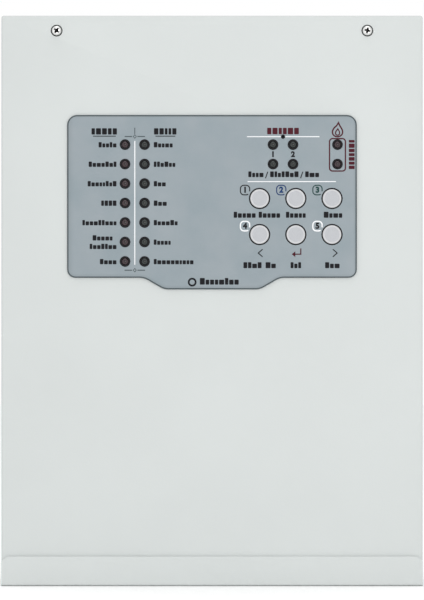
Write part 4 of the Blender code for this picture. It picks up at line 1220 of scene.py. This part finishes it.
def make_winding(x, z, front, back):
    """The bobbin's two flanges, the taped winding between them, and five solder lugs on top."""
    bobbin, wound, lugs = blanks(3)
    for side in (-1, 1):
        block(bobbin, x, z + side * 12.95, 18.2, 0.55, front + 0.1, back - 0.1, 0.3)
    for step in range(-2, 3):
        block(bobbin, x + step * 6.5, z + 15.45, 2, 2.55, front + 0.3, front + 4.6, 0.4)
        block(lugs, x + step * 6.5, z + 19.75, 0.9, 2.75, front + 1.6, front + 2.0, 0.1, 1)
    block(wound, x, z, 17.5, 12.6, front + 0.8, back - 0.8, 3.2, 5)
    piece("transformer_bobbin", bobbin, "black_plastic")
    piece("transformer_wound_tape", wound, "winding_tape", replaced="transformer_winding")
    piece("transformer_lugs", lugs, SOLDER)


def pan_head(bm, placement, r):
    """A small domed screw head with a round drive recess."""
    profile = [(0, 0.28), (0.30, 0.36), (0.38, 0.60), (0.72, 0.50), (0.95, 0.26), (1, 0), (0, 0)]
    lathe(bm, [(a * r, b * r) for a, b in profile], placement, 20)


# ---------------------------------------------------------------- batteries and leads

def make_batteries():
    """Sealed cases with a stepped lid, a vent cover, a plain label and two tab terminals."""
    for side in ("left", "right"):
        name = f"battery_{side}"
        low, high = cad(name)
        top = high.z - 6
        case, lid, tabs, label = blanks(4)
        slab(case, low, (high.x, high.y, top - 8.4), 1.5, 3)
        slab(lid, (low.x + 0.7, low.y + 0.7, top - 10), (high.x - 0.7, high.y - 0.7, top - 7))
        slab(lid, (low.x, low.y, top - 8), (high.x, high.y, top - 0.8), 1.4, 3)
        slab(lid, (low.x + 18, low.y + 24, top - 2), (high.x - 18, high.y - 6, top), 0.8)
        for i, x in enumerate((low.x + BLADE_INSET, high.x - BLADE_INSET)):
            collar = bmesh.new()
            slab(collar, (x - 4.5, low.y + 8.5, top - 1.5), (x + 4.5, low.y + 18.5, top + 0.6), 0.5)
            piece(f"{name}_collar_{i + 1}", collar, LOOKS["black_wire" if i else "red_wire"])
            slab(tabs, (x - 0.4, low.y + 10.35, top - 1), (x + 0.4, low.y + 16.65, top + 5.8), 0.15, 1)
        slab(label, (low.x + 12, low.y - 0.12, low.z + 10), (high.x - 12, low.y + 0.3, low.z + 44))
        piece(f"{name}_case", case, "battery_case", replaced=name)
        piece(f"{name}_lid", lid, "battery_case")
        piece(f"{name}_tabs", tabs, "zinc")
        piece(f"{name}_label", label, LABEL)


def push_on(name, look, x):
    """An insulated push-on connector over a battery tab."""
    sleeve = bmesh.new()
    slab(sleeve, (x - 2.2, BLADE_Y - 4.2, BLADE_TOP - 6), (x + 2.2, BLADE_Y + 4.2, BLADE_TOP + 0.5), 0.9, 3)
    lathe(sleeve, [(0, 0), (2.0, 0), (1.7, 4.0), (0, 4.0)], facing((x, BLADE_Y, BLADE_TOP), (0, 0.15, 1)), 16)
    piece(name, sleeve, look)


def over_blades(*places):
    """Points above the terminal blades, each by its x, its depth behind them and its height."""
    return [(x, BLADE_Y + deep, BLADE_TOP + high) for x, deep, high in places]


def wire(name, look, points, replaced=None):
    """A round wire on a smooth curve through points."""
    bm = bmesh.new()
    tube(bm, smooth_route(points), 1.2, 14)
    piece(name, bm, look, replaced=replaced)


def make_leads():
    """Battery leads with insulated push-on connectors, each ending in a board header."""
    board_z, end_y = -46, BOARD_FACE - 1.5
    for name, look, tab_x, board_x in (("battery_lead_red", "red_wire", LEFT_LOW.x + BLADE_INSET, -76),
                                       ("battery_lead_black", "black_wire", RIGHT_HIGH.x - BLADE_INSET, 4)):
        across = board_x - tab_x
        route = over_blades((tab_x, 0, 1.5), (tab_x, 1, 6), (tab_x + 0.2 * across, 14, 9),
                            (tab_x + 0.7 * across, 27, 5))
        route += [(board_x, end_y - deep, board_z - low) for deep, low in ((10, 3), (3, 0), (0, 0))]
        wire(f"{name}_wire", look, route, name)
        push_on(f"{name}_connector", look, tab_x)
        header = bmesh.new()
        block(header, board_x, board_z, 4, 3.2, BOARD_FACE - 7, BOARD_FACE - 0.05, 0.5)
        piece(f"{name}_header", header, WHITE_PLASTIC)


def make_battery_link():
    """Short lead that joins the two batteries in series, from black tab to red tab."""
    start, end = LEFT_HIGH.x - BLADE_INSET, RIGHT_LOW.x + BLADE_INSET
    reach = end - start
    push_on("battery_link_left_connector", "black_wire", start)
    push_on("battery_link_right_connector", "red_wire", end)
    wire("battery_link_wire", "black_wire", over_blades(
        (start, 0, 1.5), (start, 1, 5), (start + 0.22 * reach, 4, 9), (start + 0.78 * reach, 4, 9),
        (end, 1, 5), (end, 0, 1.5)))


def make_strap_bolts():
    """A bolt through each foot of the battery strap."""
    low, high = cad("battery_strap")
    bm = bmesh.new()
    for x in (low.x + 6, high.x - 6):
        pan_head(bm, facing((x, high.y - 1.2, (low.z + high.z) / 2)), 3.4)
    piece("strap_bolts", bm, "zinc")


# ---------------------------------------------------------------- ribbon cable

def ribbon_section(point, side, low_x):
    """The ridged cross-section of the flat cable where it passes a point, as a loop."""
    pitch, thin, thick = 1.0, 0.30, 0.48
    ridges = [(i + share, half) for i in range(RIBBON_WAYS)
              for share, half in ((0.0, thin), (0.25, thick), (0.75, thick))]
    loop = []
    for way, row in ((1, [*ridges, (RIBBON_WAYS, thin)]), (-1, [(RIBBON_WAYS, thin), *reversed(ridges)])):
        for place, half in row:
            at = point + side * way * half
            loop.append((low_x + place * pitch, at.x, at.y))
    return loop


def make_ribbon():
    """The flat cable in three pieces: one on the box, one looped at the hinge that rides on neither body, one
    on the cover.
    """
    low_x = middle("ribbon_socket").x - RIBBON_WAYS / 2
    fall, rise, plug = -77.0, -89.3, -79.0
    loop_z = cad("ribbon_cable")[0].z + 0.5
    for name, body, points, radii in (
            ("ribbon_box_side", "enclosure", [(BOARD_FACE - 6, -40), (fall, -40), (fall, loop_z + 14)], [15]),
            ("ribbon_hinge_loop", None,
             [(fall, loop_z + 14), (fall, loop_z), (rise, loop_z), (rise, loop_z + 14)], [5.8, 5.8]),
            ("ribbon_cover_side", "cover", [(rise, loop_z + 14), (rise, -6), (plug, 8), (plug, 24)], [8, 8])):
        path = [p.to_2d() for p in rounded_path([(a, b, 0) for a, b in points], radii, 8)]
        bm = bmesh.new()
        sweep(bm, [ribbon_section(point, side, low_x) for point, side in zip(path, sides_of(path))])
        made = piece(name, bm, "ribbon", body, None if body else "ribbon_cable", sharp=70)
        if not body:
            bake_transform(made)


def make_plugs():
    """Moulded plugs on the cable's ends and the shrouded socket on the display board."""
    board_plug, display_plug, shell = blanks(3)
    low, high = cad("ribbon_socket")
    x = (low.x + high.x) / 2
    block(board_plug, x, -40, 13, 4, BOARD_FACE - 6, BOARD_FACE - 0.1, 0.4)
    block(board_plug, x, -40, 11, 2.6, BOARD_FACE - 9.6, BOARD_FACE - 5, 0.6)
    slab(display_plug, (low.x + 1.5, low.y + 1.5, low.z - 5), (high.x - 1.5, high.y - 1.5, low.z + 1), 0.6)
    slab(shell, low, high, 0.4)
    for side in (low.x, high.x - 2):
        slab(shell, (side, high.y - 3, low.z + 2), (side + 2, high.y + 0.4, high.z + 2.5), 0.4)
    piece("ribbon_board_plug", board_plug, "black_plastic")
    piece("ribbon_display_plug", display_plug, "grey_plastic", "cover")
    piece("ribbon_socket_shell", shell, "black_plastic", "cover", "ribbon_socket")


# ---------------------------------------------------------------- display board, rear side

def make_solder_joints():
    """Solder joints under the lamps, the switches and the ribbon socket."""
    spots = [(at.x + dx, at.z) for at in map(middle, LEDS) for dx in (-PIN_PITCH / 2, PIN_PITCH / 2)]
    spots += [(at.x + dx, at.z + dz) for at in map(middle, BUTTONS)
              for dx in (-3.2, 3.2) for dz in (-2.2, 2.2)]
    spots += [(-61.5 + PIN_PITCH * i, z) for i in range(RIBBON_WAYS // 2) for z in (18, 20.5)]
    joint = [(0, 1.2), (0.35, 1.15), (0.45, 0.7), (0.8, 0.25), (1.15, SEAT), (0, SEAT)]
    bm = bmesh.new()
    for x, z in spots:
        lathe(bm, joint, facing((x, DISPLAY_REAR, z), (0, 1, 0)), 10)
    piece("display_board_joints", bm, SOLDER, "cover")


def make_display_board_parts():
    """Two driver chips, and a resistor beside each lamp of the two columns."""
    bodies, legs, resistors, ends = blanks(4)
    chip(bodies, legs, -12, 44, 3.8, 7.5, DISPLAY_REAR, 1, 12)
    chip(bodies, legs, 8, 44, 2, 5, DISPLAY_REAR, 1, 8)
    for name in LEDS[:2 * len(ROWS)]:
        at = middle(name)
        x = at.x + (-9 if at.x < (STATUS_X + FAULT_X) / 2 else 9)
        block(resistors, x, at.z, 1.0, 0.7, DISPLAY_REAR + SEAT, DISPLAY_REAR + 0.65)
        for side in (-1, 1):
            block(ends, x + side * 1.25, at.z, 0.3, 0.72, DISPLAY_REAR + SEAT, DISPLAY_REAR + 0.7)
    piece("display_board_chips", bodies, "black_plastic", "cover")
    piece("display_board_chip_legs", legs, SOLDER, "cover")
    piece("display_board_resistors", resistors, "black_plastic", "cover")
    piece("display_board_resistor_ends", ends, SOLDER, "cover")


def make_buzzer():
    """Round sounder with a hole in its middle and a groove round it."""
    low, high = cad("buzzer")
    at = middle("buzzer")
    h, r = high.y - low.y, (high.x - low.x) / 2
    bm = bmesh.new()
    lathe(bm, [(0, h - 3), (1.5, h - 3), (1.5, h - 0.3), (1.8, h), (4.5, h), (4.8, h - 0.25), (5.1, h),
               (r - 0.9, h), (r, h - 0.9), (r, 1.2), (r - 0.3, 1.0), (r - 0.3, 0), (0, 0)],
          facing((at.x, low.y, at.z), (0, 1, 0)), 48)
    piece("buzzer_case", bm, "black_plastic", "cover", "buzzer")


# ---------------------------------------------------------------- setting

def make_floor():
    """A plain pale floor under the panel."""
    low_z = CAD_BOX[0][2]
    size = 6.0
    bm = bmesh.new()
    bmesh.ops.create_grid(bm, x_segments=1, y_segments=1, size=size)
    mesh = bpy.data.meshes.new("floor")
    bm.to_mesh(mesh)
    bm.free()
    floor = bpy.data.objects.new("floor", mesh)
    floor.location = (0, 0, low_z - 0.0002)
    SCENE.collection.objects.link(floor)
    look = surface("floor", (0.95, 0.95, 0.95), 0.7, patch=0.005, relief=0.0)
    mesh.materials.append(look)


def add_light(name, location, size, energy):
    """A white area light that faces the origin."""
    light = bpy.data.lights.new(name, 'AREA')
    light.shape = 'RECTANGLE'
    light.size, light.size_y = size
    light.energy = energy
    obj = bpy.data.objects.new(name, light)
    obj.location = location
    obj.rotation_euler = (-Vector(location)).to_track_quat('-Z', 'Y').to_euler()
    SCENE.collection.objects.link(obj)


def light_scene():
    world = bpy.data.worlds.new("studio")
    world.use_nodes = True
    background = world.node_tree.nodes["Background"]
    background.inputs["Color"].default_value = (1.0, 1.0, 1.0, 1)
    background.inputs["Strength"].default_value = 1.0
    SCENE.world = world
    add_light("key", (0.45, -3.3, 0.2), (1.4, 1.4), 36.3)
    add_light("top", (0.0, -0.4, 2.3), (1.6, 1.2), 9)
    SCENE.view_settings.view_transform = 'Standard'


def add_camera():
    """Straight in front, far away, with the panel's height filling 95% of a 424 x 600 frame."""
    distance, shown_height, sensor = 3.5, 0.3628, 36.0
    camera = bpy.data.objects.new("camera", bpy.data.cameras.new("camera"))
    camera.data.sensor_width = sensor
    camera.data.lens = sensor * distance / shown_height
    front = Vector(CAD_BOX[0]).y
    camera.location = (0, front - distance, 0.0004)
    camera.rotation_euler = (math.pi / 2, 0, 0)
    camera.data.clip_end = 100
    SCENE.collection.objects.link(camera)
    SCENE.camera = camera


def build():
    dress_cad_nodes()
    print_status_columns()
    print_zone_block()
    print_fire_block()
    print_key_marks()
    print_overlay_border()
    make_leds()
    make_keys()
    make_key_gap_shade()
    make_cover_screws()
    make_field_terminals()
    make_relays()
    make_capacitor()
    make_main_board_chips()
    make_surge_parts()
    make_chip_parts()
    make_electrolytics()
    make_crystal_and_header()
    make_regulator()
    make_board_nuts()
    make_mains_terminals()
    make_fuse()
    make_transformer()
    make_batteries()
    make_leads()
    make_battery_link()
    make_strap_bolts()
    make_ribbon()
    make_plugs()
    make_solder_joints()
    make_display_board_parts()
    make_buzzer()
    make_floor()
    light_scene()
    add_camera()


build()
